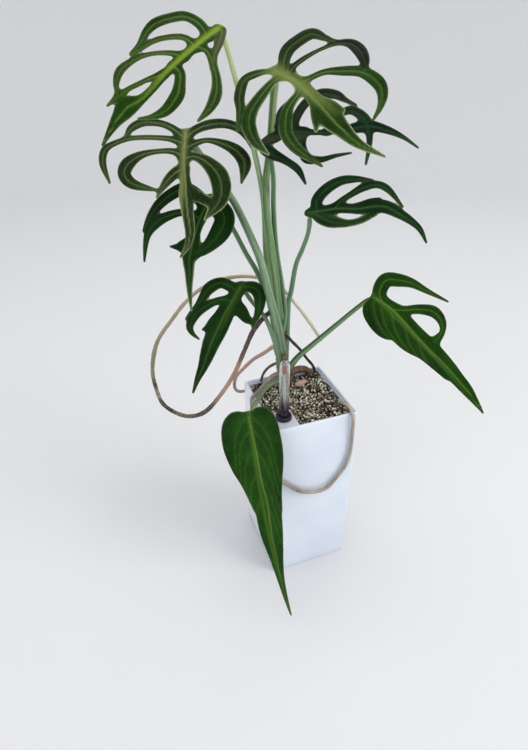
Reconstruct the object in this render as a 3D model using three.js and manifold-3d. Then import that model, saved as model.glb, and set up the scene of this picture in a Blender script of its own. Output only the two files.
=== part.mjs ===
// Potted split-leaf aroid in a tall square self-watering planter.
// Millimetres, +Z up. The origin is the centre of the planter's underside and -Y is the side
// that faces the viewer most. Each leaf is drawn in its own flat (u, v) coordinates: u runs from the
// base of the blade to its tip and v across it. Ribs with a half-width give the lobes, and
// the gaps left between the ribs are the cuts and windows of the blade.

import * as THREE from "three";
import { mergeVertices } from "three/addons/utils/BufferGeometryUtils.js";
import Module from "manifold-3d";

const wasm = await Module();
wasm.setup();

// Planter
const POT_HEIGHT = 200;
const POT_TOP_HALF = 45;
const POT_BASE_HALF = 42.6;
const POT_BELLY = 0.7;
const POT_WALL = 2.4;
const POT_FLOOR = 3;
const POT_CORNER = 3;
const RIM_ROUND = 0.8;

// Inner pot with its corner platform and the shaft of the water gauge
const FIT_GAP = 0.3;
const LINER_WALL = 1.6;
const LINER_TOP = 197;
const LINER_FLOOR = 42;
const LINER_FLOOR_THICKNESS = 2;
const PLATFORM_X = -15.5;
const PLATFORM_Y = -13;
const GAUGE_X = -26.5;
const GAUGE_Y = -24.5;
const PLATFORM_THICKNESS = 2;

// Water gauge
const COLLAR_RADIUS = 8;
const COLLAR_HEIGHT = 4;
const TUBE_RADIUS = 5;
const TUBE_WALL = 1;
const TUBE_TOP = 262;
const ROD_RADIUS = 1.4;
const ROD_BOTTOM = 3.6;
const ROD_TOP = 249;
const FLAG_LENGTH = 8;
const FLAG_RADIUS = 2.4;

// Substrate
const SOIL_LEVEL = 195;
const SOIL_BUMP = 1.3;
const SOIL_CELLS = 10;

// Stalks, roots and blades
const STALK_SIDES = 6;
const BLADE_THICKNESS = 0.9;
const TRACE_CELL = 2;
const EDGE_ERROR = 0.55;
const EDGE_LONGEST = 14;
const BEND_STEP = 23;
const SMALLEST_WINDOW = 5;
const BLEND = 4;
const RIB_STEPS = 6;
const SNAP = 0.3;
const MIDRIB_RADIUS = 1.5;
const MIDRIB_REACH = 0.72;

// Bark chip on the substrate
const CHIP_SIZE = [14, 6, 4];
const CHIP_PLACE = [13, 24, 197.4];
const CHIP_TURN = 0.2;

// Blades. base and tip are the two ends of the midrib, face is the way the upper side looks,
// arch lifts the middle of the blade, fold makes a shallow valley along the midrib, sag lets the
// sides hang and wave ripples them. The first rib is the midrib: [u, v, half-width].
const LEAVES = {
  top_left: {
    base: [-61, 42, 538],
    tip: [-161, 10, 461],
    face: [-0.3, -0.8, 0.52],
    arch: 10,
    fold: 0.1,
    sag: 6,
    wave: 2,
    phase: 0.3,
    ribs: [
      [[0, 0, 3.5], [20, -1, 4.5], [40, -1, 4], [60, -1, 3.5], [75, -2, 3.2], [88, -1, 4], [99, 3, 7.5],
       [108, 3, 5.5], [118, 2, 3.2], [131, 0, 1]],
      [[13, -1, 4], [9, 11, 5], [12, 22, 5], [22, 28, 4.5], [34, 33, 4.5], [44, 33, 3.5], [55, 30, 2.2],
       [66, 29, 1]],
      [[27, -1, 4], [28, 10, 3], [38, 19, 2.5], [47, 24, 2.5], [56, 26, 2], [64, 28, 1]],
      [[41, -1, 4], [45, 7, 2.5], [55, 17, 2], [66, 23, 2.5], [80, 25, 3.5], [90, 21, 2.5], [98, 13, 1]],
      [[62, 0, 3], [72, 5, 2], [80, 8, 2], [88, 11, 2], [97, 13, 2.5], [107, 15, 1]],
      [[8, -2, 4], [-1, -3, 3.5], [10, -10, 3.5], [23, -16, 2.5], [33, -23, 1]],
      [[27, -1, 4], [24, -9, 3], [30, -21, 3], [40, -33, 4], [50, -40, 4.5], [63, -44, 3], [74, -44, 1]],
      [[52, -1, 3.5], [53, -8, 4], [61, -15, 4.5], [70, -20, 5.5], [83, -21, 4.5], [93, -16, 2.2],
       [100, -9, 1]],
    ],
  },
  top_right: {
    base: [-19, 26, 508],
    tip: [39, -55, 451],
    face: [-0.3, -0.8, 0.52],
    arch: 8,
    fold: 0.08,
    sag: 6,
    wave: 2,
    phase: 1.2,
    ribs: [
      [[-1, 0, 4], [7, 0, 5], [21, -2, 5], [45, 2, 6], [61, 5, 10], [76, 7, 7.5], [95, 7, 4],
       [115, 0, 1]],
      [[8, -2, 5], [1, -9, 5], [-5, -20, 6.5], [-4, -32, 6.5], [0, -43, 6], [11, -46, 3.5], [20, -48, 2]],
      [[14, -3, 4], [11, -10, 3], [13, -23, 2.5], [17, -36, 2], [23, -48, 3], [32, -54, 5],
       [43, -52, 5.5], [53, -46, 4], [59, -40, 1]],
      [[26, -2, 4], [29, -8, 3], [35, -20, 3], [46, -29, 4.5], [58, -37, 5], [72, -39, 6],
       [81, -35, 4.5], [87, -26, 2.5], [90, -15, 1]],
      [[2, 1, 3], [-5, 5, 3], [-12, 12, 4.5], [-16, 21, 5], [-8, 34, 5], [3, 44, 3.5], [14, 59, 1]],
      [[10, 1, 4], [7, 10, 4], [9, 27, 5.5], [12, 40, 6], [19, 50, 6], [32, 56, 4.5], [47, 57, 1]],
      [[30, 1, 4], [32, 8, 3.5], [34, 20, 4.5], [41, 31, 5.5], [50, 38, 5], [66, 41, 4], [87, 39, 1]],
      [[51, 5, 4], [56, 12, 4], [64, 21, 1.5]],
      [[52, 3, 4], [58, -2, 3.5], [68, -5, 1.5]],
    ],
  },
  behind_right: {
    base: [-22, 30, 454],
    tip: [74, -46, 453],
    face: [-0.25, -0.72, 0.64],
    arch: 8,
    fold: 0.1,
    sag: 5,
    wave: 1.5,
    phase: 2,
    ribs: [
      [[0, 0, 4.5], [21, -5, 3.5], [43, -4, 2.5], [60, -6, 2.5], [73, -10, 5], [84, -13, 5],
       [98, -11, 3.5], [111, -7, 2], [123, -1, 1]],
      [[10, -4, 4], [5, -14, 4], [5, -27, 3.5], [10, -37, 2]],
      [[22, -4, 4], [20, -16, 4.5], [25, -31, 5], [35, -40, 5.5], [50, -39, 4.5], [60, -34, 2.5],
       [69, -31, 1]],
      [[50, -5, 3.5], [55, -18, 3.5], [66, -25, 4], [78, -19, 4.5], [84, -6, 3], [86, 8, 2], [86, 22, 1]],
      [[29, -4, 5], [31, 9, 4], [38, 20, 4.5], [50, 21, 3], [61, 17, 2], [73, 13, 1]],
      [[5, 0, 5], [-5, 5, 5.5], [5, 15, 5.5], [19, 22, 3.5], [32, 30, 3], [41, 42, 1]],
    ],
  },
  middle_left: {
    base: [-85, 74, 457],
    tip: [-105, 32, 356],
    face: [-0.35, -0.8, 0.5],
    arch: 9,
    fold: 0.08,
    sag: 5,
    wave: 2,
    phase: 0.8,
    ribs: [
      [[1, 0, 4], [16, 0, 4], [31, -1, 4.2], [46, -3, 5], [57, -4, 6.5], [73, -6, 5.5], [88, -8, 4.5],
       [100, -6, 3],
       [111, 1, 1]],
      [[6, 1, 4.5], [-2, 11, 3.5], [-7, 23, 3.5], [-8, 38, 4.5], [-3, 48, 4.5], [7, 54, 1]],
      [[12, 0, 4.5], [8, 11, 3], [7, 26, 2.5], [8, 48, 2.5], [13, 64, 3], [19, 72, 4], [31, 73, 3.5],
       [48, 66, 1]],
      [[23, 0, 4.5], [19, 10, 3], [20, 25, 2.5], [24, 39, 4], [32, 50, 6.5], [41, 52, 6], [49, 43, 4.5],
       [54, 21, 1]],
      [[34, -1, 5], [38, 6, 5], [47, 14, 4], [60, 22, 1]],
      [[6, -1, 4.5], [-2, -9, 4.5], [-7, -21, 5], [-8, -35, 4.5], [-4, -47, 4], [4, -55, 3],
       [13, -59, 1]],
      [[15, -2, 4.5], [10, -12, 3], [8, -22, 2.5], [12, -38, 4.5], [19, -49, 6], [29, -54, 5.5],
       [45, -52, 1]],
      [[25, -1, 4.5], [23, -10, 4], [28, -21, 6], [38, -31, 8.5], [50, -35, 8.5], [63, -33, 6.5],
       [78, -21, 1]],
      [[53, -6, 5], [59, -17, 5], [64, -27, 4]],
    ],
  },
  hanging_left: {
    base: [-68, 61, 398],
    tip: [-100, 30, 303],
    face: [-0.4, -0.75, 0.52],
    arch: 8,
    fold: 0.1,
    sag: 4,
    wave: 1.5,
    phase: 1.6,
    ribs: [
      [[-1, 0, 4.5], [16, 5, 6.5], [32, 7, 5], [50, 8, 8], [60, 8, 6], [70, 6, 4.5], [84, 4, 3], [105, 0, 1]],
      [[7, 3, 6.5], [-1, 14, 6.5], [-5, 27, 6.5], [4, 39, 6], [16, 48, 5], [29, 54, 3], [40, 57, 1]],
      [[19, 7, 4.5], [17, 22, 3.5], [23, 36, 4.5], [32, 47, 5.5], [45, 52, 3.5], [68, 50, 1]],
      [[42, 8, 6], [47, 15, 6], [49, 21, 3.2], [50, 28, 1]],
      [[7, 1, 6.5], [8, -10, 9], [16, -17, 9.5], [29, -15.5, 9.5], [44, -7, 6], [52, 3, 4.5]],
    ],
  },
  middle_right: {
    base: [18, 34, 383],
    tip: [97, -44, 371],
    face: [-0.25, -0.72, 0.64],
    arch: 6,
    fold: 0.15,
    sag: 6,
    wave: 1.5,
    phase: 2.6,
    ribs: [
      [[1, -1, 4.5], [16, -6, 5], [29, -10, 5], [46, -13, 5], [60, -19, 6.5], [70, -21, 6.5],
       [83, -18, 5], [95, -14, 3.5], [104, -9, 2.5], [112, 0, 1]],
      [[9, -4, 4.5], [5, -12, 6], [6, -21, 6.5], [12, -31, 6.5], [21, -38, 5.5], [33, -41, 4],
       [48, -43, 1.5]],
      [[24, -9, 4.5], [28, -17, 3.5], [36, -26, 3.5], [45, -35, 4.5], [55, -40, 4], [66, -38, 3.5],
       [83, -26, 1]],
      [[46, -14, 4.5], [54, -20, 4.5], [61, -27, 1]],
      [[8, -2, 5.5], [16, 2, 7], [25, 4, 7], [33, 4, 5.5], [42, 2.5, 4], [52, -3, 3.5], [61, -12, 3.5]],
    ],
  },
  small_left: {
    base: [-47, 39, 316],
    tip: [-108, 10, 224],
    face: [-0.35, -0.8, 0.5],
    arch: 7,
    fold: 0.1,
    sag: 5,
    wave: 1.5,
    phase: 0.2,
    ribs: [
      [[1, 1, 5], [11, 1, 6], [21, 2, 7.5], [34, 3, 9], [47, 3, 9.5], [61, 3, 8.5], [74, 2, 7],
       [86, 1, 5], [99, 1, 3], [114, 0, 1]],
      [[7, 2, 5], [5, 10, 5.5], [6, 20, 5.5], [15, 27, 6], [27, 29, 4], [38, 31, 2.5], [51, 35, 1]],
      [[17, 2, 5], [20, 11, 3.5], [29, 20, 4], [42, 28, 5], [55, 29, 4], [61, 24, 2.5], [64, 14.5, 0.8]],
      [[35, 2, 6], [43, 8, 6], [50, 12, 3.5], [54, 16, 1]],
      [[6, 1, 5], [-1, -4, 5], [-3, -13, 6.5], [2, -20, 6], [13, -25, 4.5], [33, -27, 1]],
      [[19, 1, 7], [22, -9, 6.5], [27, -18, 4.5], [29, -25, 1]],
    ],
  },
  low_right: {
    base: [80, 3, 300],
    tip: [168, -81, 191],
    face: [-0.3, -0.72, 0.62],
    arch: 10,
    fold: 0.12,
    sag: 5,
    wave: 1.5,
    phase: 1,
    ribs: [
      [[3, 0, 5], [20, -3, 8], [36, -3, 8.5], [54, -2, 9], [76, -2, 10], [100, -3, 8.5], [117, -3, 7],
       [132, -3, 6], [148, -2, 3.5], [163, -1, 1]],
      [[11, -1, 6], [1, -7, 7], [-3, -20, 7.5], [5, -29, 7], [17, -37, 5], [33, -42, 3], [54, -49, 1]],
      [[21, -3, 5], [30, -11, 4.5], [40, -23, 5], [51, -31, 6], [63, -30, 4.5], [71, -23, 3],
       [73, -12, 5]],
      [[6, 1, 6], [9, 11, 10.5], [20, 14, 12], [30, 13.5, 12], [39, 10, 10], [56, 9, 9], [72, 5, 7.5],
       [86, 3, 7], [105, 1, 6]],
    ],
  },
  heart_front: {
    base: [-62, -24, 213],
    tip: [-48, -105, 16],
    face: [-0.62, -0.7, 0.3],
    arch: 12,
    fold: 0.1,
    sag: 3,
    wave: 1,
    phase: 0,
    ribs: [
      [[4, 1, 5.5], [35, -2, 14], [65, -3, 15.5], [87, -5, 14], [117, -3, 12], [146, -2, 7],
       [169, -1, 4], [213, 0, 1]],
      [[12, 1, 7.5], [12, 14, 14], [27, 17, 14.5], [46, 13, 14.5], [66, 7, 11.5], [88, 2, 9.5]],
      [[12, -1, 7.5], [8, -13, 13], [23, -16, 13.5], [42, -15, 14], [64, -13, 11.5], [88, -9, 10.5]],
    ],
  },
};

// Stalks of the leaves, from the stem to just through the base of the blade.
const PETIOLES = {
  top_left: {
    points: [
      [-10, 42, 290], [-15, 43, 310], [-20, 44, 343], [-23, 41, 388], [-26, 42, 414], [-34, 36, 443],
      [-39, 43, 470], [-45, 51, 500], [-54, 48, 528], [-61, 42, 538], [-63, 39, 539],
    ],
    radii: [2.9, 1.9],
  },
  top_right: {
    points: [
      [-8, 36, 275], [-12, 31, 293], [-16, 29, 326], [-20, 31, 358], [-24, 32, 391], [-23, 36, 417],
      [-20, 38, 436], [-18, 38, 456], [-18, 33, 484], [-18, 29, 500], [-20, 23, 509],
    ],
    radii: [4, 3],
  },
  behind_right: {
    points: [
      [-4, 41, 254], [0, 43, 277], [-4, 42, 309], [-12, 37, 349], [-16, 35, 390], [-20, 26, 421],
      [-22, 27, 438], [-22, 30, 450], [-23, 27, 456],
    ],
    radii: [3.1, 2],
  },
  middle_left: {
    points: [
      [-6, 35, 237], [-11, 30, 260], [-19, 22, 288], [-26, 21, 314], [-29, 27, 334], [-32, 39, 352],
      [-45, 61, 391], [-61, 71, 417], [-74, 76, 438], [-82, 77, 450], [-86, 70, 459],
    ],
    radii: [4.2, 3.1],
  },
  hanging_left: {
    points: [
      [-6, 42, 229], [-7, 49, 247], [-14, 53, 289], [-25, 57, 320], [-35, 61, 340], [-46, 63, 364],
      [-57, 64, 384], [-68, 60, 399], [-70, 57, 402],
    ],
    radii: [3.2, 2.1],
  },
  middle_right: {
    points: [
      [-1, 36, 223], [3, 42, 249], [6, 47, 285], [8, 45, 299], [11, 42, 328], [17, 40, 346],
      [21, 38, 361], [22, 37, 374], [18, 30, 387],
    ],
    radii: [3.2, 2],
  },
  small_left: {
    points: [
      [-7, 36, 216], [-15, 26, 246], [-23, 25, 272], [-28, 30, 285], [-36, 36, 296], [-43, 40, 308],
      [-50, 34, 320],
    ],
    radii: [2.7, 1.8],
  },
  low_right: {
    points: [
      [0, 32, 209], [7, 24, 230], [23, 18, 248], [46, 15, 267], [66, 13, 283], [77, 9, 293],
      [80, -2, 302],
    ],
    radii: [3.1, 2.1],
  },
  heart_front: {
    points: [
      [-3, 32, 201], [-15, 27, 204], [-26, 18, 208], [-37, 7, 210], [-46, -6, 212], [-56, -18, 214],
      [-63, -27, 215],
    ],
    radii: [2.8, 1.9],
  },
};

// Aerial roots, with their radius at both ends.
const ROOTS = {
  root_long_loop: {
    points: [
      [-12, 40, 284], [-17, 38, 283], [-26, 36, 278], [-38, 33, 267], [-50, 31, 243], [-60, 31, 221],
      [-75, 34, 196], [-92, 40, 174], [-111, 49, 168], [-130, 60, 179], [-136, 67, 198],
      [-137, 72, 220], [-129, 75, 249], [-112, 75, 272], [-95, 75, 291], [-75, 74, 305],
      [-47, 73, 311], [-20, 67, 309], [2, 59, 298], [16, 52, 280], [28, 45, 262], [42, 37, 237],
    ],
    radii: [2.4, 1.7],
    steps: 38,
    knots: 0.35,
  },
  root_behind_rim: {
    points: [
      [-6, 37, 246], [-11, 38, 243], [-20, 48, 229], [-30, 56, 218], [-39, 61, 206], [-48, 63, 195],
      [-51, 61, 184], [-46, 64, 174], [-35, 68, 169],
    ],
    radii: [2.2, 1.6],
    steps: 16,
    knots: 0.2,
  },
  root_left_corner: {
    points: [
      [-4, 36, 222], [-14, 41, 216], [-20, 44, 209], [-25, 43, 201], [-27, 41, 188],
    ],
    radii: [1.6, 1.3],
    steps: 10,
    knots: 0.1,
  },
  root_garland: {
    points: [
      [-3, 33, 215], [-9, 32, 211], [-17, 32, 208], [-24, 29, 205], [-31, 25, 202], [-38, 18, 202],
      [-44, 12, 203.6], [-48, 10, 199], [-48.5, 0, 182], [-48, -20, 165], [-48, -38, 155],
      [-47, -47, 149], [-38, -48, 140], [-28, -48, 129], [-16, -48, 118], [-2, -48, 112],
      [13, -48, 112], [24, -48, 123], [34, -48, 137], [38, -48, 155], [38.5, -48, 178],
      [37.5, -48.5, 196], [37, -45, 203.4], [38, -38, 203.4], [39, -27, 199], [40, -14, 192],
    ],
    radii: [2.2, 1.7],
    steps: 44,
    knots: 0.25,
  },
  root_back_corner: {
    points: [
      [-5, 37, 256], [0, 38, 253], [8, 40, 242], [19, 42, 228], [28, 43, 214], [36, 41, 202],
      [38, 39, 188],
    ],
    radii: [1.8, 1.5],
    steps: 12,
    knots: 0.1,
  },
};

const STEM = {
  points: [[0, 30, 180], [-1, 32, 200], [-4, 35, 222], [-6, 38, 250], [-10, 41, 276], [-13, 42, 294]],
  radii: [7, 4],
  steps: 10,
};

const RHIZOME = {
  points: [[3, 34, 206], [14, 36, 207], [25, 38, 203], [32, 36, 194]],
  radii: [4.4, 3.8],
  steps: 8,
};

const root = new THREE.Group();
root.name = "root";

// A closed surface as plain lists, made into a solid that can be joined and cut.
function solidOf(points, triangles) {
  const mesh = new wasm.Mesh({
    numProp: 3,
    vertProperties: new Float32Array(points.flatMap((p) => [p.x, p.y, p.z])),
    triVerts: new Uint32Array(triangles.flat()),
  });
  return new wasm.Manifold(mesh);
}

function solidOfGeometry(geometry) {
  const bare = geometry.clone();
  bare.deleteAttribute("normal");
  bare.deleteAttribute("uv");
  const merged = mergeVertices(bare, 1e-4);
  return new wasm.Manifold(
    new wasm.Mesh({
      numProp: 3,
      vertProperties: Float32Array.from(merged.attributes.position.array),
      triVerts: Uint32Array.from(merged.index.array),
    }),
  );
}

function geometryOf(solid) {
  const mesh = solid.getMesh();
  const geometry = new THREE.BufferGeometry();
  geometry.setAttribute("position", new THREE.BufferAttribute(mesh.vertProperties, 3));
  geometry.setIndex(new THREE.BufferAttribute(mesh.triVerts, 1));
  geometry.computeVertexNormals();
  return geometry;
}

function largestBody(solid) {
  const bodies = solid.decompose();
  bodies.sort((a, b) => b.volume() - a.volume());
  return bodies[0];
}

// What is already placed, as copies grown by the fit gap, for later pieces to be cut with.
const placed = [];

function boxesMeet(a, b) {
  return [0, 1, 2].every((i) => a.min[i] < b.max[i] && b.min[i] < a.max[i]);
}

function carve(solid) {
  let left = solid;
  for (const grown of placed) {
    if (boxesMeet(left.boundingBox(), grown.boundingBox())) {
      left = left.subtract(grown);
    }
  }
  return largestBody(left);
}

function addPart(name, solid, grown, look) {
  const material = new THREE.MeshStandardMaterial(look);
  material.name = look.name;
  const mesh = new THREE.Mesh(geometryOf(solid), material);
  mesh.name = name;
  root.add(mesh);
  if (grown) {
    placed.push(grown);
  }
}

// Rings of equally many points joined into one skin, with a fan on the first and the last ring.
function stack(rings) {
  const count = rings[0].length;
  const points = rings.flat();
  const triangles = [];
  for (let k = 0; k + 1 < rings.length; k += 1) {
    for (let i = 0; i < count; i += 1) {
      const a = k * count + i;
      const b = k * count + ((i + 1) % count);
      triangles.push([a, b, b + count], [a, b + count, a + count]);
    }
  }
  const centre = (ring) =>
    ring.reduce((sum, p) => sum.add(p), new THREE.Vector3()).multiplyScalar(1 / count);
  const first = points.push(centre(rings[0])) - 1;
  const last = points.push(centre(rings[rings.length - 1])) - 1;
  const top = (rings.length - 1) * count;
  for (let i = 0; i < count; i += 1) {
    const j = (i + 1) % count;
    triangles.push([first, j, i], [last, top + i, top + j]);
  }
  return solidOf(points, triangles);
}

// A square with rounded corners, counter-clockwise seen from above.
function squareRing(half, corner, z) {
  const ring = [];
  for (let side = 0; side < 4; side += 1) {
    for (let step = 0; step < 4; step += 1) {
      const angle = ((side + step / 3) * Math.PI) / 2;
      const middle = ((side + 0.5) * Math.PI) / 2;
      const reach = (half - corner) * Math.SQRT2;
      ring.push(
        new THREE.Vector3(
          reach * Math.cos(middle) + corner * Math.cos(angle),
          reach * Math.sin(middle) + corner * Math.sin(angle),
          z,
        ),
      );
    }
  }
  return ring;
}

// Half of the planter's outer width at a height: a straight taper with a slight belly.
function potHalf(z) {
  const share = z / POT_HEIGHT;
  return POT_BASE_HALF + (POT_TOP_HALF - POT_BASE_HALF) * share + POT_BELLY * 4 * share * (1 - share);
}

const POT_LEVELS = [0, 0.2, 0.4, 0.6, 0.8, 1];

function shell(inset, wall, corner, bottom, top, floor) {
  const level = (share, low) => low + (top - low) * share;
  const outside = POT_LEVELS.slice(0, -1).map((share) => {
    const z = level(share, bottom);
    return squareRing(potHalf(z) - inset, corner, z);
  });
  const inner = corner - wall * 0.5;
  const inside = POT_LEVELS.slice(0, -1).map((share) => {
    const z = level(share, floor);
    return squareRing(potHalf(z) - inset - wall, inner, z);
  });
  return stack([
    ...outside,
    squareRing(potHalf(top) - inset, corner, top - RIM_ROUND),
    squareRing(potHalf(top) - inset - RIM_ROUND * 0.4, corner, top),
    squareRing(potHalf(top) - inset - wall + RIM_ROUND * 0.4, inner, top),
    squareRing(potHalf(top) - inset - wall, inner, top - RIM_ROUND),
    ...inside.reverse(),
  ]);
}

function fill(inset, corner, bottom, top) {
  return stack(
    POT_LEVELS.map((share) => {
      const z = bottom + (top - bottom) * share;
      return squareRing(potHalf(z) - inset, corner, z);
    }),
  );
}

function cylinder(radius, low, high, sides = 20) {
  const geometry = new THREE.CylinderGeometry(radius, radius, high - low, sides);
  geometry.rotateX(Math.PI / 2);
  geometry.translate(GAUGE_X, GAUGE_Y, (low + high) / 2);
  return solidOfGeometry(geometry);
}

function box(x0, x1, y0, y1, z0, z1) {
  const geometry = new THREE.BoxGeometry(x1 - x0, y1 - y0, z1 - z0);
  geometry.translate((x0 + x1) / 2, (y0 + y1) / 2, (z0 + z1) / 2);
  return solidOfGeometry(geometry);
}

function pathOf(points) {
  return new THREE.CatmullRomCurve3(
    points.map((p) => new THREE.Vector3(...p)),
    false,
    "catmullrom",
    0.5,
  );
}

// A round stalk along a path, its radius running evenly from the first to the second. grow widens
// and lengthens it for cutting other pieces. knots adds small swellings, as on a jointed root.
function stalk(points, radii, steps, grow = 0, knots = 0) {
  const path = pathOf(points);
  const frames = path.computeFrenetFrames(steps, false);
  const rings = [];
  for (let k = 0; k <= steps; k += 1) {
    const share = k / steps;
    const swell = knots * Math.max(0, Math.sin(share * Math.PI * 9)) ** 6;
    const radius = radii[0] + (radii[1] - radii[0]) * share + swell + grow;
    const centre = path.getPointAt(share);
    if (k === 0) {
      centre.addScaledVector(frames.tangents[k], -grow);
    }
    if (k === steps) {
      centre.addScaledVector(frames.tangents[k], grow);
    }
    const ring = [];
    for (let i = 0; i < STALK_SIDES; i += 1) {
      const angle = (i / STALK_SIDES) * 2 * Math.PI;
      ring.push(
        centre
          .clone()
          .addScaledVector(frames.normals[k], radius * Math.cos(angle))
          .addScaledVector(frames.binormals[k], radius * Math.sin(angle)),
      );
    }
    rings.push(ring);
  }
  return stack(rings);
}

// The blade's own axes and its height over the flat plane through base and tip.
function bladeFrame(leaf) {
  const base = new THREE.Vector3(...leaf.base);
  const along = new THREE.Vector3(...leaf.tip).sub(base);
  const length = along.length();
  along.normalize();
  const across = new THREE.Vector3().crossVectors(along, new THREE.Vector3(...leaf.face)).normalize();
  const up = new THREE.Vector3().crossVectors(across, along);
  const lift = (u, v) => {
    const share = u / length;
    const side = v > 0 ? 0 : 1.9;
    const arch = leaf.arch * 4 * share * (1 - share);
    const fold = leaf.fold * (Math.sqrt(v * v + 16) - 4);
    const sag = leaf.sag * (v / 50) ** 2;
    const wave = leaf.wave * Math.sin(u / 13 + leaf.phase + side) * Math.tanh((v * v) / 900);
    return arch + fold - sag + wave;
  };
  const point = (u, v, offset = 0) =>
    base
      .clone()
      .addScaledVector(along, u)
      .addScaledVector(across, v)
      .addScaledVector(up, lift(u, v) + offset);
  const normal = (u, v) => {
    const du = point(u + 0.5, v).sub(point(u - 0.5, v));
    const dv = point(u, v + 0.5).sub(point(u, v - 0.5));
    return du.cross(dv).normalize().multiplyScalar(-1);
  };
  return { length, along, up, point, normal };
}

// Distance to the outline made by the ribs, below zero inside the blade. Ribs that meet are
// blended, so the cuts between the lobes end round.
function outlineOf(ribs) {
  const strokes = ribs.map((rib) => {
    const path = pathOf(rib);
    return path.getPoints(RIB_STEPS * (rib.length - 1));
  });
  return (u, v) => {
    let total = Infinity;
    for (const stroke of strokes) {
      let nearest = Infinity;
      for (let i = 0; i + 1 < stroke.length; i += 1) {
        const a = stroke[i];
        const b = stroke[i + 1];
        const du = b.x - a.x;
        const dv = b.y - a.y;
        const span = Math.max(du * du + dv * dv, 1e-9);
        const share = THREE.MathUtils.clamp(((u - a.x) * du + (v - a.y) * dv) / span, 0, 1);
        const width = a.z + (b.z - a.z) * share;
        const distance = Math.hypot(u - a.x - du * share, v - a.y - dv * share) - width;
        nearest = Math.min(nearest, distance);
      }
      const near = Math.max(BLEND - Math.abs(total - nearest), 0) / BLEND;
      total = total === Infinity ? nearest : Math.min(total, nearest) - (near * near * BLEND) / 4;
    }
    return total;
  };
}

// Flat triangles that fill the outline: an even grid, its points near the outline moved onto it,
// and the triangles that the outline crosses cut along it.
function fillOutline(outline, ribs, cell) {
  const all = ribs.flat();
  const reach = Math.max(...all.map((p) => p[2])) + cell;
  const row = (cell * Math.sqrt(3)) / 2;
  const iMin = Math.floor((Math.min(...all.map((p) => p[0])) - reach) / cell);
  const iMax = Math.ceil((Math.max(...all.map((p) => p[0])) + reach) / cell);
  const jMin = Math.floor((Math.min(...all.map((p) => p[1])) - reach) / row);
  const jMax = Math.ceil((Math.max(...all.map((p) => p[1])) + reach) / row);
  const points = [];
  const index = new Map();
  for (let j = jMin; j <= jMax; j += 1) {
    for (let i = iMin; i <= iMax; i += 1) {
      let u = (i + (Math.abs(j) % 2) / 2) * cell;
      let v = j * row;
      let d = outline(u, v);
      if (Math.abs(d) < SNAP * cell) {
        for (let turn = 0; turn < 3; turn += 1) {
          const gu = (outline(u + 0.05, v) - outline(u - 0.05, v)) / 0.1;
          const gv = (outline(u, v + 0.05) - outline(u, v - 0.05)) / 0.1;
          const size = Math.max(gu * gu + gv * gv, 0.1);
          u -= (d * gu) / size;
          v -= (d * gv) / size;
          d = outline(u, v);
        }
        d = 0;
      }
      index.set(`${i},${j}`, points.length);
      points.push({ u, v, d });
    }
  }
  const crossings = new Map();
  const crossing = (a, b) => {
    const key = a < b ? `${a},${b}` : `${b},${a}`;
    if (!crossings.has(key)) {
      let [p, q] = points[a].d < 0 ? [points[a], points[b]] : [points[b], points[a]];
      let on = p;
      for (let turn = 0; turn < 3; turn += 1) {
        const share = p.d / (p.d - q.d);
        on = { u: p.u + (q.u - p.u) * share, v: p.v + (q.v - p.v) * share };
        on.d = outline(on.u, on.v);
        if (on.d < 0) {
          p = on;
        } else {
          q = { u: on.u, v: on.v, d: Math.max(on.d, 1e-6) };
        }
      }
      crossings.set(key, points.length);
      points.push({ u: on.u, v: on.v, d: 0 });
    }
    return crossings.get(key);
  };
  const triangles = [];
  const clip = (corners) => {
    const signs = corners.map((k) => Math.sign(points[k].d));
    if (signs.every((s) => s >= 0)) {
      if (signs.some((s) => s > 0)) {
        return;
      }
      const u = corners.reduce((sum, k) => sum + points[k].u, 0) / 3;
      const v = corners.reduce((sum, k) => sum + points[k].v, 0) / 3;
      if (outline(u, v) >= 0) {
        return;
      }
    }
    const kept = [];
    for (let k = 0; k < 3; k += 1) {
      const a = corners[k];
      const b = corners[(k + 1) % 3];
      if (points[a].d <= 0) {
        kept.push(a);
      }
      if (points[a].d * points[b].d < 0) {
        kept.push(crossing(a, b));
      }
    }
    for (let k = 1; k + 1 < kept.length; k += 1) {
      triangles.push([kept[0], kept[k], kept[k + 1]]);
    }
  };
  for (let j = jMin; j < jMax; j += 1) {
    for (let i = iMin; i < iMax; i += 1) {
      const a = index.get(`${i},${j}`);
      const b = index.get(`${i + 1},${j}`);
      const c = index.get(`${i},${j + 1}`);
      const d = index.get(`${i + 1},${j + 1}`);
      if (Math.abs(j) % 2 === 0) {
        clip([a, b, c]);
        clip([b, d, c]);
      } else {
        clip([a, b, d]);
        clip([a, d, c]);
      }
    }
  }
  return { points, triangles: tidyTriangles(points, triangles) };
}

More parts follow.
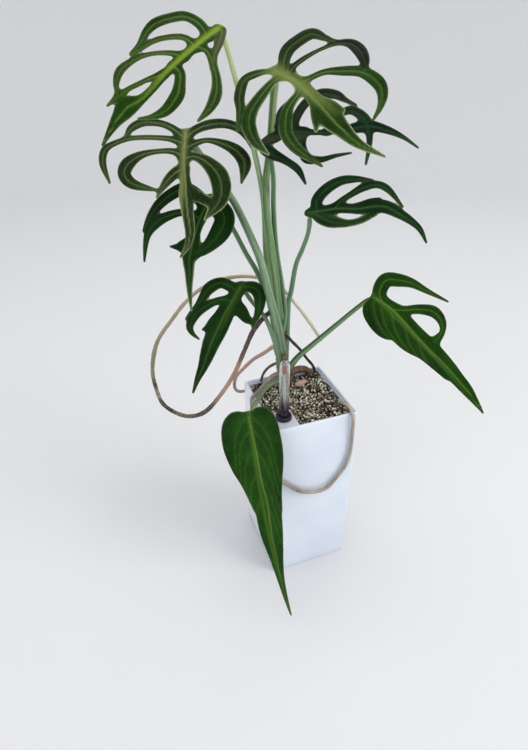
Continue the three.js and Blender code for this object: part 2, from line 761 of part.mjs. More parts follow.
// The largest connected sheet, without points where two parts of it only touch.
function tidyTriangles(points, triangles) {
  const area = ([a, b, c]) => {
    const p = points[a];
    const q = points[b];
    const r = points[c];
    return ((q.u - p.u) * (r.v - p.v) - (q.v - p.v) * (r.u - p.u)) / 2;
  };
  const edgesOf = ([a, b, c]) => [[a, b], [b, c], [c, a]].map((e) => e.sort((x, y) => x - y).join());
  const groups = (list, keep) => {
    const byEdge = new Map();
    const parent = list.map((_, k) => k);
    const find = (k) => (parent[k] === k ? k : find(parent[k]));
    list.forEach((triangle, k) => {
      for (const edge of edgesOf(triangle).filter(keep)) {
        if (byEdge.has(edge)) {
          parent[find(k)] = find(byEdge.get(edge));
        }
        byEdge.set(edge, k);
      }
    });
    const sets = new Map();
    list.forEach((triangle, k) => {
      const head = find(k);
      sets.set(head, [...(sets.get(head) ?? []), triangle]);
    });
    const size = (set) => set.reduce((sum, t) => sum + area(t), 0);
    return [...sets.values()].sort((x, y) => size(y) - size(x));
  };
  let kept = triangles.filter((t) => area(t) > 1e-3);
  for (let turn = 0; turn < 20; turn += 1) {
    kept = groups(kept, () => true)[0];
    const around = new Map();
    for (const triangle of kept) {
      for (const k of triangle) {
        around.set(k, [...(around.get(k) ?? []), triangle]);
      }
    }
    const drop = new Set();
    for (const [k, fan] of around) {
      const parts = groups(fan, (edge) => edge.split(",").includes(String(k)));
      parts.slice(1).forEach((part) => part.forEach((triangle) => drop.add(triangle)));
    }
    if (drop.size === 0) {
      return kept;
    }
    kept = kept.filter((triangle) => !drop.has(triangle));
  }
  return kept;
}

// The closed outlines of a sheet of triangles: the outer one first, then its windows.
function loopsOf(triangles) {
  const next = new Map();
  const open = new Map();
  for (const [a, b, c] of triangles) {
    for (const [p, q] of [[a, b], [b, c], [c, a]]) {
      if (!open.delete(`${q},${p}`)) {
        open.set(`${p},${q}`, [p, q]);
      }
    }
  }
  for (const [p, q] of open.values()) {
    next.set(p, q);
  }
  const loops = [];
  while (next.size > 0) {
    const start = next.keys().next().value;
    const loop = [];
    let at = start;
    do {
      loop.push(at);
      const step = next.get(at);
      next.delete(at);
      at = step;
    } while (at !== start);
    loops.push(loop);
  }
  return loops.sort((a, b) => b.length - a.length);
}

// Fewer points on an outline, none further off it than EDGE_ERROR and none too far apart.
function simplify(loop) {
  const distance = (p, a, b) => {
    const span = new THREE.Vector2().subVectors(b, a);
    const size = span.length();
    const away = new THREE.Vector2().subVectors(p, a);
    return size < 1e-9 ? away.length() : Math.abs(span.cross(away)) / size;
  };
  const thin = (run) => {
    const a = run[0];
    const b = run[run.length - 1];
    let worst = 0;
    let at = 0;
    for (let i = 1; i + 1 < run.length; i += 1) {
      const off = distance(run[i], a, b);
      if (off > worst) {
        worst = off;
        at = i;
      }
    }
    if (worst > EDGE_ERROR) {
      return [...thin(run.slice(0, at + 1)).slice(0, -1), ...thin(run.slice(at))];
    }
    if (a.distanceTo(b) > EDGE_LONGEST && run.length > 2) {
      const half = Math.floor(run.length / 2);
      return [...thin(run.slice(0, half + 1)).slice(0, -1), ...thin(run.slice(half))];
    }
    return [a, b];
  };
  let far = 0;
  for (let i = 1; i < loop.length; i += 1) {
    if (loop[i].distanceTo(loop[0]) > loop[far].distanceTo(loop[0])) {
      far = i;
    }
  }
  const there = thin(loop.slice(0, far + 1));
  const back = thin([...loop.slice(far), loop[0]]);
  return [...there.slice(0, -1), ...back.slice(0, -1)];
}

// The same points with rounder triangles: an edge is turned wherever that widens the narrow angles.
function roundOut(points, triangles) {
  const angle = (at, p, q) => {
    const toP = new THREE.Vector2().subVectors(points[p], points[at]);
    const toQ = new THREE.Vector2().subVectors(points[q], points[at]);
    return Math.atan2(toP.cross(toQ), toP.dot(toQ));
  };
  const list = triangles.map((corners) => [...corners]);
  for (let turn = 0, flips = 1; flips > 0 && turn < 60; turn += 1) {
    flips = 0;
    const open = new Map();
    const touched = new Set();
    for (let k = 0; k < list.length; k += 1) {
      for (let i = 0; i < 3; i += 1) {
        const [a, b, c] = [list[k][i], list[k][(i + 1) % 3], list[k][(i + 2) % 3]];
        const other = open.get(`${b},${a}`);
        open.set(`${a},${b}`, { k, c });
        if (!other || touched.has(k) || touched.has(other.k)) {
          continue;
        }
        const d = other.c;
        const wide = angle(c, a, b) + angle(d, b, a) > Math.PI + 1e-3;
        if (wide && angle(a, d, c) > 1e-3 && angle(b, c, d) > 1e-3) {
          list[k] = [a, d, c];
          list[other.k] = [d, b, c];
          touched.add(k);
          touched.add(other.k);
          flips += 1;
          break;
        }
      }
    }
  }
  return list;
}

// Triangles split along a straight line, so that the blade can bend there.
function splitAlong(points, triangles, axis, value) {
  const cuts = new Map();
  const side = (k) => {
    const off = points[k][axis] - value;
    return Math.abs(off) < 0.4 ? 0 : Math.sign(off);
  };
  const cut = (a, b) => {
    const key = a < b ? `${a},${b}` : `${b},${a}`;
    if (!cuts.has(key)) {
      const share = (value - points[a][axis]) / (points[b][axis] - points[a][axis]);
      cuts.set(key, points.push(points[a].clone().lerp(points[b], share)) - 1);
    }
    return cuts.get(key);
  };
  const result = [];
  for (const corners of triangles) {
    const signs = corners.map(side);
    if (!signs.includes(1) || !signs.includes(-1)) {
      result.push(corners);
      continue;
    }
    for (const keep of [-1, 1]) {
      const piece = [];
      for (let k = 0; k < 3; k += 1) {
        const j = (k + 1) % 3;
        if (signs[k] !== -keep) {
          piece.push(corners[k]);
        }
        if (signs[k] * signs[j] < 0) {
          piece.push(cut(corners[k], corners[j]));
        }
      }
      for (let k = 1; k + 1 < piece.length; k += 1) {
        result.push([piece[0], piece[k], piece[k + 1]]);
      }
    }
  }
  return result;
}

// The flat pattern of a blade: few points on its outlines, and triangles that can follow its bend.
function bladePattern(leaf, length) {
  const fine = fillOutline(outlineOf(leaf.ribs), leaf.ribs, TRACE_CELL);
  const loops = loopsOf(fine.triangles)
    .map((loop) => simplify(loop.map((k) => new THREE.Vector2(fine.points[k].u, fine.points[k].v))))
    .filter((loop) => loop.length > 3 && Math.abs(THREE.ShapeUtils.area(loop)) > SMALLEST_WINDOW);
  const points = loops.flat();
  const faces = THREE.ShapeUtils.triangulateShape(loops[0], loops.slice(1));
  let triangles = faces.map((face) =>
    THREE.ShapeUtils.area(face.map((k) => points[k])) > 0 ? face : [face[0], face[2], face[1]],
  );
  triangles = splitAlong(points, roundOut(points, triangles), "y", 0);
  for (let u = BEND_STEP; u < length - BEND_STEP / 2; u += BEND_STEP) {
    triangles = splitAlong(points, triangles, "x", u);
  }
  return { points, triangles };
}

// The blade as one closed sheet with both faces split alike, and its midrib raised underneath.
function bladeSolid(leaf, grow = 0) {
  const frame = bladeFrame(leaf);
  const { points, triangles } = bladePattern(leaf, frame.length);
  const used = new Map();
  const top = [];
  const bottom = [];
  const place = (k) => {
    if (!used.has(k)) {
      used.set(k, top.length);
      const { x: u, y: v } = points[k];
      const shift = frame.normal(u, v).multiplyScalar(BLADE_THICKNESS / 2 + grow);
      top.push(frame.point(u, v).add(shift));
      bottom.push(frame.point(u, v).sub(shift));
    }
    return used.get(k);
  };
  const sheet = triangles.map((triangle) => triangle.map(place));
  const open = new Map();
  for (const [a, b, c] of sheet) {
    for (const [p, q] of [[a, b], [b, c], [c, a]]) {
      if (!open.delete(`${q},${p}`)) {
        open.set(`${p},${q}`, [p, q]);
      }
    }
  }
  const count = top.length;
  const skin = [];
  for (const [a, b, c] of sheet) {
    skin.push([a, c, b], [a + count, b + count, c + count]);
  }
  for (const [p, q] of open.values()) {
    skin.push([p, q, q + count], [p, q + count, p + count]);
  }
  const sheetSolid = solidOf([...top, ...bottom], skin);
  const spine = leaf.ribs[0].filter((p) => p[0] <= frame.length * MIDRIB_REACH);
  const drop = -BLADE_THICKNESS / 2 - MIDRIB_RADIUS * 0.35;
  const nodes = spine.map(([u, v]) => frame.point(u, v, drop).toArray());
  const ridge = stalk(nodes, [MIDRIB_RADIUS, 0.7], nodes.length + 3, grow);
  return largestBody(sheetSolid.add(ridge));
}
const WHITE_GLOSS = { name: "gloss_white", color: 0xf2f4f7, roughness: 0.12, metalness: 0 };
const WHITE_SATIN = { name: "satin_white", color: 0xd9d8e4, roughness: 0.4, metalness: 0 };
const BLACK = { name: "collar_black", color: 0x14131a, roughness: 0.35, metalness: 0 };
const CLEAR = { name: "clear_tube", color: 0xdfe6e4, roughness: 0.05, metalness: 0 };
const RED = { name: "flag_red", color: 0xb3323a, roughness: 0.4, metalness: 0 };
const MILKY = { name: "rod_milky", color: 0xc9cbc8, roughness: 0.45, metalness: 0 };
const SOIL = { name: "substrate", color: 0x6b6350, roughness: 0.95, metalness: 0 };
const STEM_LOOK = { name: "stem_green", color: 0x4c6b48, roughness: 0.6, metalness: 0 };
const BARK = { name: "rhizome_bark", color: 0x5a3b2c, roughness: 0.85, metalness: 0 };
const CHIP = { name: "chip_pink", color: 0xcfa890, roughness: 0.8, metalness: 0 };

const BLADE_COLOURS = {
  top_left: 0x2f5a22,
  top_right: 0x2d4f2a,
  behind_right: 0x274a38,
  middle_left: 0x2a4c26,
  hanging_left: 0x234733,
  middle_right: 0x22402c,
  small_left: 0x244534,
  low_right: 0x24481f,
  heart_front: 0x235220,
};

const STALK_COLOURS = {
  top_left: 0x8fb07a,
  top_right: 0x6f9a6d,
  behind_right: 0x6c9a7c,
  middle_left: 0x6a9c8a,
  hanging_left: 0x669484,
  middle_right: 0x86a98c,
  small_left: 0x6b957e,
  low_right: 0x5f8457,
  heart_front: 0x8a9d70,
};

const ROOT_COLOURS = {
  root_long_loop: 0x8f7a61,
  root_behind_rim: 0xb98f78,
  root_left_corner: 0x3d2a22,
  root_garland: 0x9a8c7c,
  root_back_corner: 0x231c1a,
};

function buildPlanter() {
  const pot = shell(0, POT_WALL, POT_CORNER, 0, POT_HEIGHT, POT_FLOOR);
  const grownWall = POT_WALL + 2 * FIT_GAP;
  const potGrown = shell(-FIT_GAP, grownWall, POT_CORNER, -1, POT_HEIGHT + FIT_GAP, POT_FLOOR + FIT_GAP);
  addPart("planter", pot, potGrown, WHITE_GLOSS);

  const inset = POT_WALL + FIT_GAP;
  const corner = POT_CORNER - 1;
  const bottom = POT_FLOOR + FIT_GAP;
  const wallBody = fill(inset, corner, bottom, LINER_TOP);
  const below = fill(inset + LINER_WALL, corner, bottom - 1, LINER_FLOOR - LINER_FLOOR_THICKNESS);
  const above = fill(inset + LINER_WALL, corner, LINER_FLOOR, LINER_TOP + 1);
  const edge = -POT_TOP_HALF;
  const block = box(edge, PLATFORM_X, edge, PLATFORM_Y, LINER_FLOOR - 1, LINER_TOP);
  const core = box(
    edge,
    PLATFORM_X - LINER_WALL,
    edge,
    PLATFORM_Y - LINER_WALL,
    bottom - 1,
    LINER_TOP - PLATFORM_THICKNESS,
  ).intersect(fill(inset + LINER_WALL, corner, bottom - 1, LINER_TOP - PLATFORM_THICKNESS));
  const shaft = cylinder(TUBE_RADIUS + FIT_GAP, bottom, LINER_TOP + 1);
  const walls = wallBody.subtract(below).subtract(above);
  const liner = walls.add(block.intersect(wallBody)).subtract(core).subtract(shaft);
  const linerGrownWall = LINER_WALL + 2 * FIT_GAP;
  const linerGrown = shell(POT_WALL, linerGrownWall, corner, bottom, LINER_TOP + FIT_GAP, bottom + 1);
  addPart("liner", largestBody(liner), linerGrown, WHITE_SATIN);

  const seat = LINER_TOP + FIT_GAP;
  const collar = cylinder(COLLAR_RADIUS, seat, seat + COLLAR_HEIGHT, 28);
  const bore = cylinder(TUBE_RADIUS + FIT_GAP, seat - 1, seat + COLLAR_HEIGHT + 1);
  const collarGrown = cylinder(COLLAR_RADIUS + FIT_GAP, seat - 1, seat + COLLAR_HEIGHT + 1);
  addPart("gauge_collar", collar.subtract(bore), collarGrown, BLACK);

  const tubeBottom = POT_FLOOR + FIT_GAP;
  const tube = cylinder(TUBE_RADIUS, tubeBottom, TUBE_TOP);
  const hollow = cylinder(TUBE_RADIUS - TUBE_WALL, tubeBottom - 1, TUBE_TOP - TUBE_WALL);
  const tubeGrown = cylinder(TUBE_RADIUS + FIT_GAP, seat, TUBE_TOP + FIT_GAP);
  addPart("gauge_tube", tube.subtract(hollow), tubeGrown, CLEAR);

  addPart("gauge_rod", cylinder(ROD_RADIUS, ROD_BOTTOM, ROD_TOP, 10), null, MILKY);
  const flagBottom = ROD_TOP + FIT_GAP;
  addPart("gauge_flag", cylinder(FLAG_RADIUS, flagBottom, flagBottom + FLAG_LENGTH, 12), null, RED);
}

function buildPlant() {
  for (const [name, leaf] of Object.entries(LEAVES)) {
    const look = { name: `blade_${name}`, color: BLADE_COLOURS[name], roughness: 0.45, metalness: 0 };
    const blade = carve(bladeSolid(leaf));
    addPart(`leaf_${name}`, blade, bladeSolid(leaf, FIT_GAP), { ...look, side: THREE.DoubleSide });
  }
  const stem = carve(stalk(STEM.points, STEM.radii, STEM.steps));
  addPart("stem", stem, stalk(STEM.points, STEM.radii, STEM.steps, FIT_GAP), STEM_LOOK);
  for (const [name, petiole] of Object.entries(PETIOLES)) {
    const steps = 2 * petiole.points.length;
    const look = { name: `stalk_${name}`, color: STALK_COLOURS[name], roughness: 0.5, metalness: 0 };
    const solid = carve(stalk(petiole.points, petiole.radii, steps));
    addPart(`petiole_${name}`, solid, stalk(petiole.points, petiole.radii, steps, FIT_GAP), look);
  }
  for (const [name, vine] of Object.entries(ROOTS)) {
    const look = { name: `${name}_bark`, color: ROOT_COLOURS[name], roughness: 0.75, metalness: 0 };
    const solid = carve(stalk(vine.points, vine.radii, vine.steps, 0, vine.knots));
    const grown = stalk(vine.points, vine.radii, vine.steps, FIT_GAP, vine.knots);
    addPart(name, solid, grown, look);
  }
  const stub = carve(stalk(RHIZOME.points, RHIZOME.radii, RHIZOME.steps));
  addPart("rhizome_stub", stub, stalk(RHIZOME.points, RHIZOME.radii, RHIZOME.steps, FIT_GAP), BARK);
}

// A flat, roughly broken chip of bark lying on the substrate.
function chip(grow) {
  const geometry = new THREE.DodecahedronGeometry(1, 0);
  geometry.scale(CHIP_SIZE[0] / 2 + grow, CHIP_SIZE[1] / 2 + grow, CHIP_SIZE[2] / 2 + grow);
  geometry.rotateZ(CHIP_TURN);
  geometry.translate(...CHIP_PLACE);
  return solidOfGeometry(geometry);
}

// Loose granules are drawn as a bumpy top on one filled body.
function buildSubstrate() {
  addPart("bark_chip", carve(chip(0)), chip(FIT_GAP), CHIP);
  const bottom = LINER_FLOOR + FIT_GAP;
  const size = 2 * POT_TOP_HALF;
  const geometry = new THREE.BoxGeometry(size, size, SOIL_LEVEL - bottom, SOIL_CELLS, SOIL_CELLS, 1);
  geometry.translate(0, 0, (SOIL_LEVEL + bottom) / 2);
  const position = geometry.attributes.position;
  for (let i = 0; i < position.count; i += 1) {
    const x = position.getX(i);
    const y = position.getY(i);
    if (position.getZ(i) > SOIL_LEVEL - 1) {
      const ripple = Math.sin(x * 1.7 + Math.sin(y * 2.3) * 2);
      const grain = ripple * Math.cos(y * 1.9 + Math.sin(x * 1.3));
      position.setZ(i, SOIL_LEVEL + SOIL_BUMP * grain);
    }
  }
  const wall = POT_WALL + FIT_GAP + LINER_WALL + FIT_GAP;
  const room = fill(wall, POT_CORNER - 1.5, bottom, LINER_TOP + 3);
  const low = -POT_TOP_HALF - 1;
  const column = box(low, PLATFORM_X + FIT_GAP, low, PLATFORM_Y + FIT_GAP, 0, POT_HEIGHT + 10);
  let soil = solidOfGeometry(geometry).intersect(room).subtract(column);
  soil = carve(soil);
  addPart("substrate", soil, null, SOIL);
}

buildPlanter();
buildPlant();
buildSubstrate();

export default root;
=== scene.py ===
"""A potted split-leaf aroid in a tall square self-watering planter.

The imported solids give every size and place. This script replaces them with finer pieces of the
same form and adds what only shows: veins, thin margins, waxy stalks, ringed roots, loose granules
and the gloss of the planter. Sizes are in millimetres and become metres when a mesh is made. Only
lamps are placed in metres, and the scale of a texture is per metre.
"""

import logging
import math
from collections.abc import Sequence
from dataclasses import dataclass, field
from enum import Enum

import bpy
import numpy as np
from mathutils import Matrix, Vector


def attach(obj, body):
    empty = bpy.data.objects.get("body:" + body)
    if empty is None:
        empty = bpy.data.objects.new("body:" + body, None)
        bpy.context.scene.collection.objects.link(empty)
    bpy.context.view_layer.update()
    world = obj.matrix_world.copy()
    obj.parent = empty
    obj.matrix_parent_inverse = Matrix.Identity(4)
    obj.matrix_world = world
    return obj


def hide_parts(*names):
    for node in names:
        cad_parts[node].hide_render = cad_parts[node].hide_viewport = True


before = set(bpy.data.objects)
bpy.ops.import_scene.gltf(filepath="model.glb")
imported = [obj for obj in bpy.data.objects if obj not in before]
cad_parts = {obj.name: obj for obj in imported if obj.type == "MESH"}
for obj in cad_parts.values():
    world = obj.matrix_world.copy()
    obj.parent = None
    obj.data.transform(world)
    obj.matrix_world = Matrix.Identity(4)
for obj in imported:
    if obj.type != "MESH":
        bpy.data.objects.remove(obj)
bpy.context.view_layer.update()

LOG = logging.getLogger("potted_aroid")
MM = 0.001
BODY = "root"
LIMB_STEPS = 10
FAR = 1e9

Colour = tuple[float, float, float]
Point = tuple[float, float, float]
Pair = tuple[float, float]
Bands = tuple[tuple[float, int], ...]
Faces = list[tuple[int, ...]]
Line = dict[str, np.ndarray]
Socket = bpy.types.NodeSocket
Material = bpy.types.Material
Piece = bpy.types.Object


class Skin(Enum):
    """The part of a blade that a face belongs to, in the order of its material slots."""

    TOP = 0
    UNDER = 1
    MARGIN = 2


class Coat(Enum):
    """How a plastic surface is finished, with its roughness."""

    GLOSS = 0.1
    SATIN = 0.34
    CLEAR = 0.06


class Ends(Enum):
    """What becomes of the first and the last ring of a loft."""

    CAPPED = "capped"
    JOINED = "joined"
    OPEN = "open"


def srgb(code: int) -> Colour:
    """Turns a colour written as 0xRRGGBB into linear red, green and blue."""
    parts = [((code >> shift) & 255) / 255 for shift in (16, 8, 0)]
    linear = [c / 12.92 if c <= 0.04045 else ((c + 0.055) / 1.055) ** 2.4 for c in parts]
    return linear[0], linear[1], linear[2]


def taper(ends: Pair, share: np.ndarray | float) -> np.ndarray | float:
    """Returns what lies between two values at a share of the way."""
    return ends[0] + (ends[1] - ends[0]) * share


def smooth_path(points: Sequence[Point], steps: int) -> np.ndarray:
    """Runs an even curve through points.

    Args:
        points: The points that the curve passes, one a row.
        steps: Pieces between each two of them.

    Returns:
        The points of the curve, one a row.
    """
    points = np.array(points, float)
    ends = np.vstack([2 * points[0] - points[1], points, 2 * points[-1] - points[-2]])
    rows = []
    for a, b, c, d in zip(ends, ends[1:], ends[2:], ends[3:]):
        square, cube = 2 * a - 5 * b + 4 * c - d, 3 * b - a - 3 * c + d
        for t in np.arange(steps) / steps:
            rows.append(0.5 * (2 * b + (c - a) * t + square * t**2 + cube * t**3))
    return np.array([*rows, points[-1]])


def even_path(points: np.ndarray, spacing: float) -> tuple[np.ndarray, np.ndarray]:
    """Places points at even distances along a curve.

    Args:
        points: The points of the curve.
        spacing: Distance between two new points, about.

    Returns:
        The new points and the length of the curve up to each.
    """
    steps = np.linalg.norm(np.diff(points, axis=0), axis=1)
    reach = np.concatenate([[0.0], np.cumsum(steps)])
    at = np.linspace(0.0, reach[-1], max(int(round(reach[-1] / spacing)), 2) + 1)
    return np.stack([np.interp(at, reach, column) for column in points.T], 1), at


def round_off(reach: np.ndarray, outer: float, inner: float) -> None:
    """Narrows the two outer and the two inner rings at the ends of a tube."""
    reach[[0, -1]] *= outer
    reach[[1, -2]] *= inner


def tube_line(points: np.ndarray, along: np.ndarray, radii: Pair) -> Line:
    """Describes a tapering tube.

    Args:
        points: Points of its centre line.
        along: The length of the line up to each.
        radii: Its radius at both ends.

    Returns:
        The points with the tube's reach, and their place along it as a share and as a length.
    """
    share = along / along[-1]
    return {"points": points, "reach": taper(radii, share), "share": share, "along": along}


@dataclass(frozen=True)
class BladeColours:
    """Colours of one blade, each written as 0xRRGGBB.

    heart is the colour round the base of the midrib. heart_reach says how far along the blade it
    spreads, as a share of its length, and heart_width how far to the sides. gloss is the roughness
    of the upper side.
    """

    deep: int
    green: int
    vein: int
    heart: int
    under: int
    heart_reach: float
    heart_width: float
    gloss: float


@dataclass(frozen=True)
class Venation:
    """Which veins a blade shows and how its lobes are shaded.

    blind lists the ribs that only fill the outline. laterals is the number of curved side veins and
    sides tells on which sides of the midrib they run. tones maps a rib to a shade, below 0 for a
    lobe darkened with painted shade and above 0 for one that shows its grey underside. pale lists
    the ribs whose margin is broad and light.
    """

    blind: tuple[int, ...] = ()
    laterals: int = 0
    sides: tuple[int, ...] = (-1, 1)
    tones: tuple[tuple[int, float], ...] = ()
    pale: tuple[int, ...] = ()


@dataclass(frozen=True)
class LeafForm:
    """Outline and bend of one blade.

    base and tip are the ends of the midrib and face is the way the upper side looks. arch lifts the
    middle, fold makes a shallow valley along the midrib, sag lets the sides hang and wave ripples
    them from phase on. Each rib is a row of (u, v, half-width) in the blade's flat plane, and the
    first is the midrib.
    """

    name: str
    base: Point
    tip: Point
    face: Point
    arch: float
    fold: float
    sag: float
    wave: float
    phase: float
    ribs: tuple[tuple[Point, ...], ...]


@dataclass(frozen=True)
class LimbForm:
    """The centre line of a stem, stalk or root and its radius at both ends."""

    name: str
    radii: Pair
    points: tuple[Point, ...]

    def line(self, spacing: float, left_out: int = 0) -> Line:
        """Lays points along the limb.

        Args:
            spacing: Distance between two of them, about.
            left_out: How many are left out at the far end.

        Returns:
            The limb as a tapering tube.
        """
        points, along = even_path(smooth_path(self.points, LIMB_STEPS), spacing)
        kept = len(points) - left_out
        return tube_line(points[:kept], along[:kept], self.radii)


@dataclass(frozen=True)
class StalkForm(LimbForm):
    """A leaf stalk, with the number of points that are left out where it enters the blade."""

    hidden: int = 2


@dataclass(frozen=True)
class RootForm(LimbForm):
    """An aerial root, with the size of its knots."""

    knots: float = 0.0


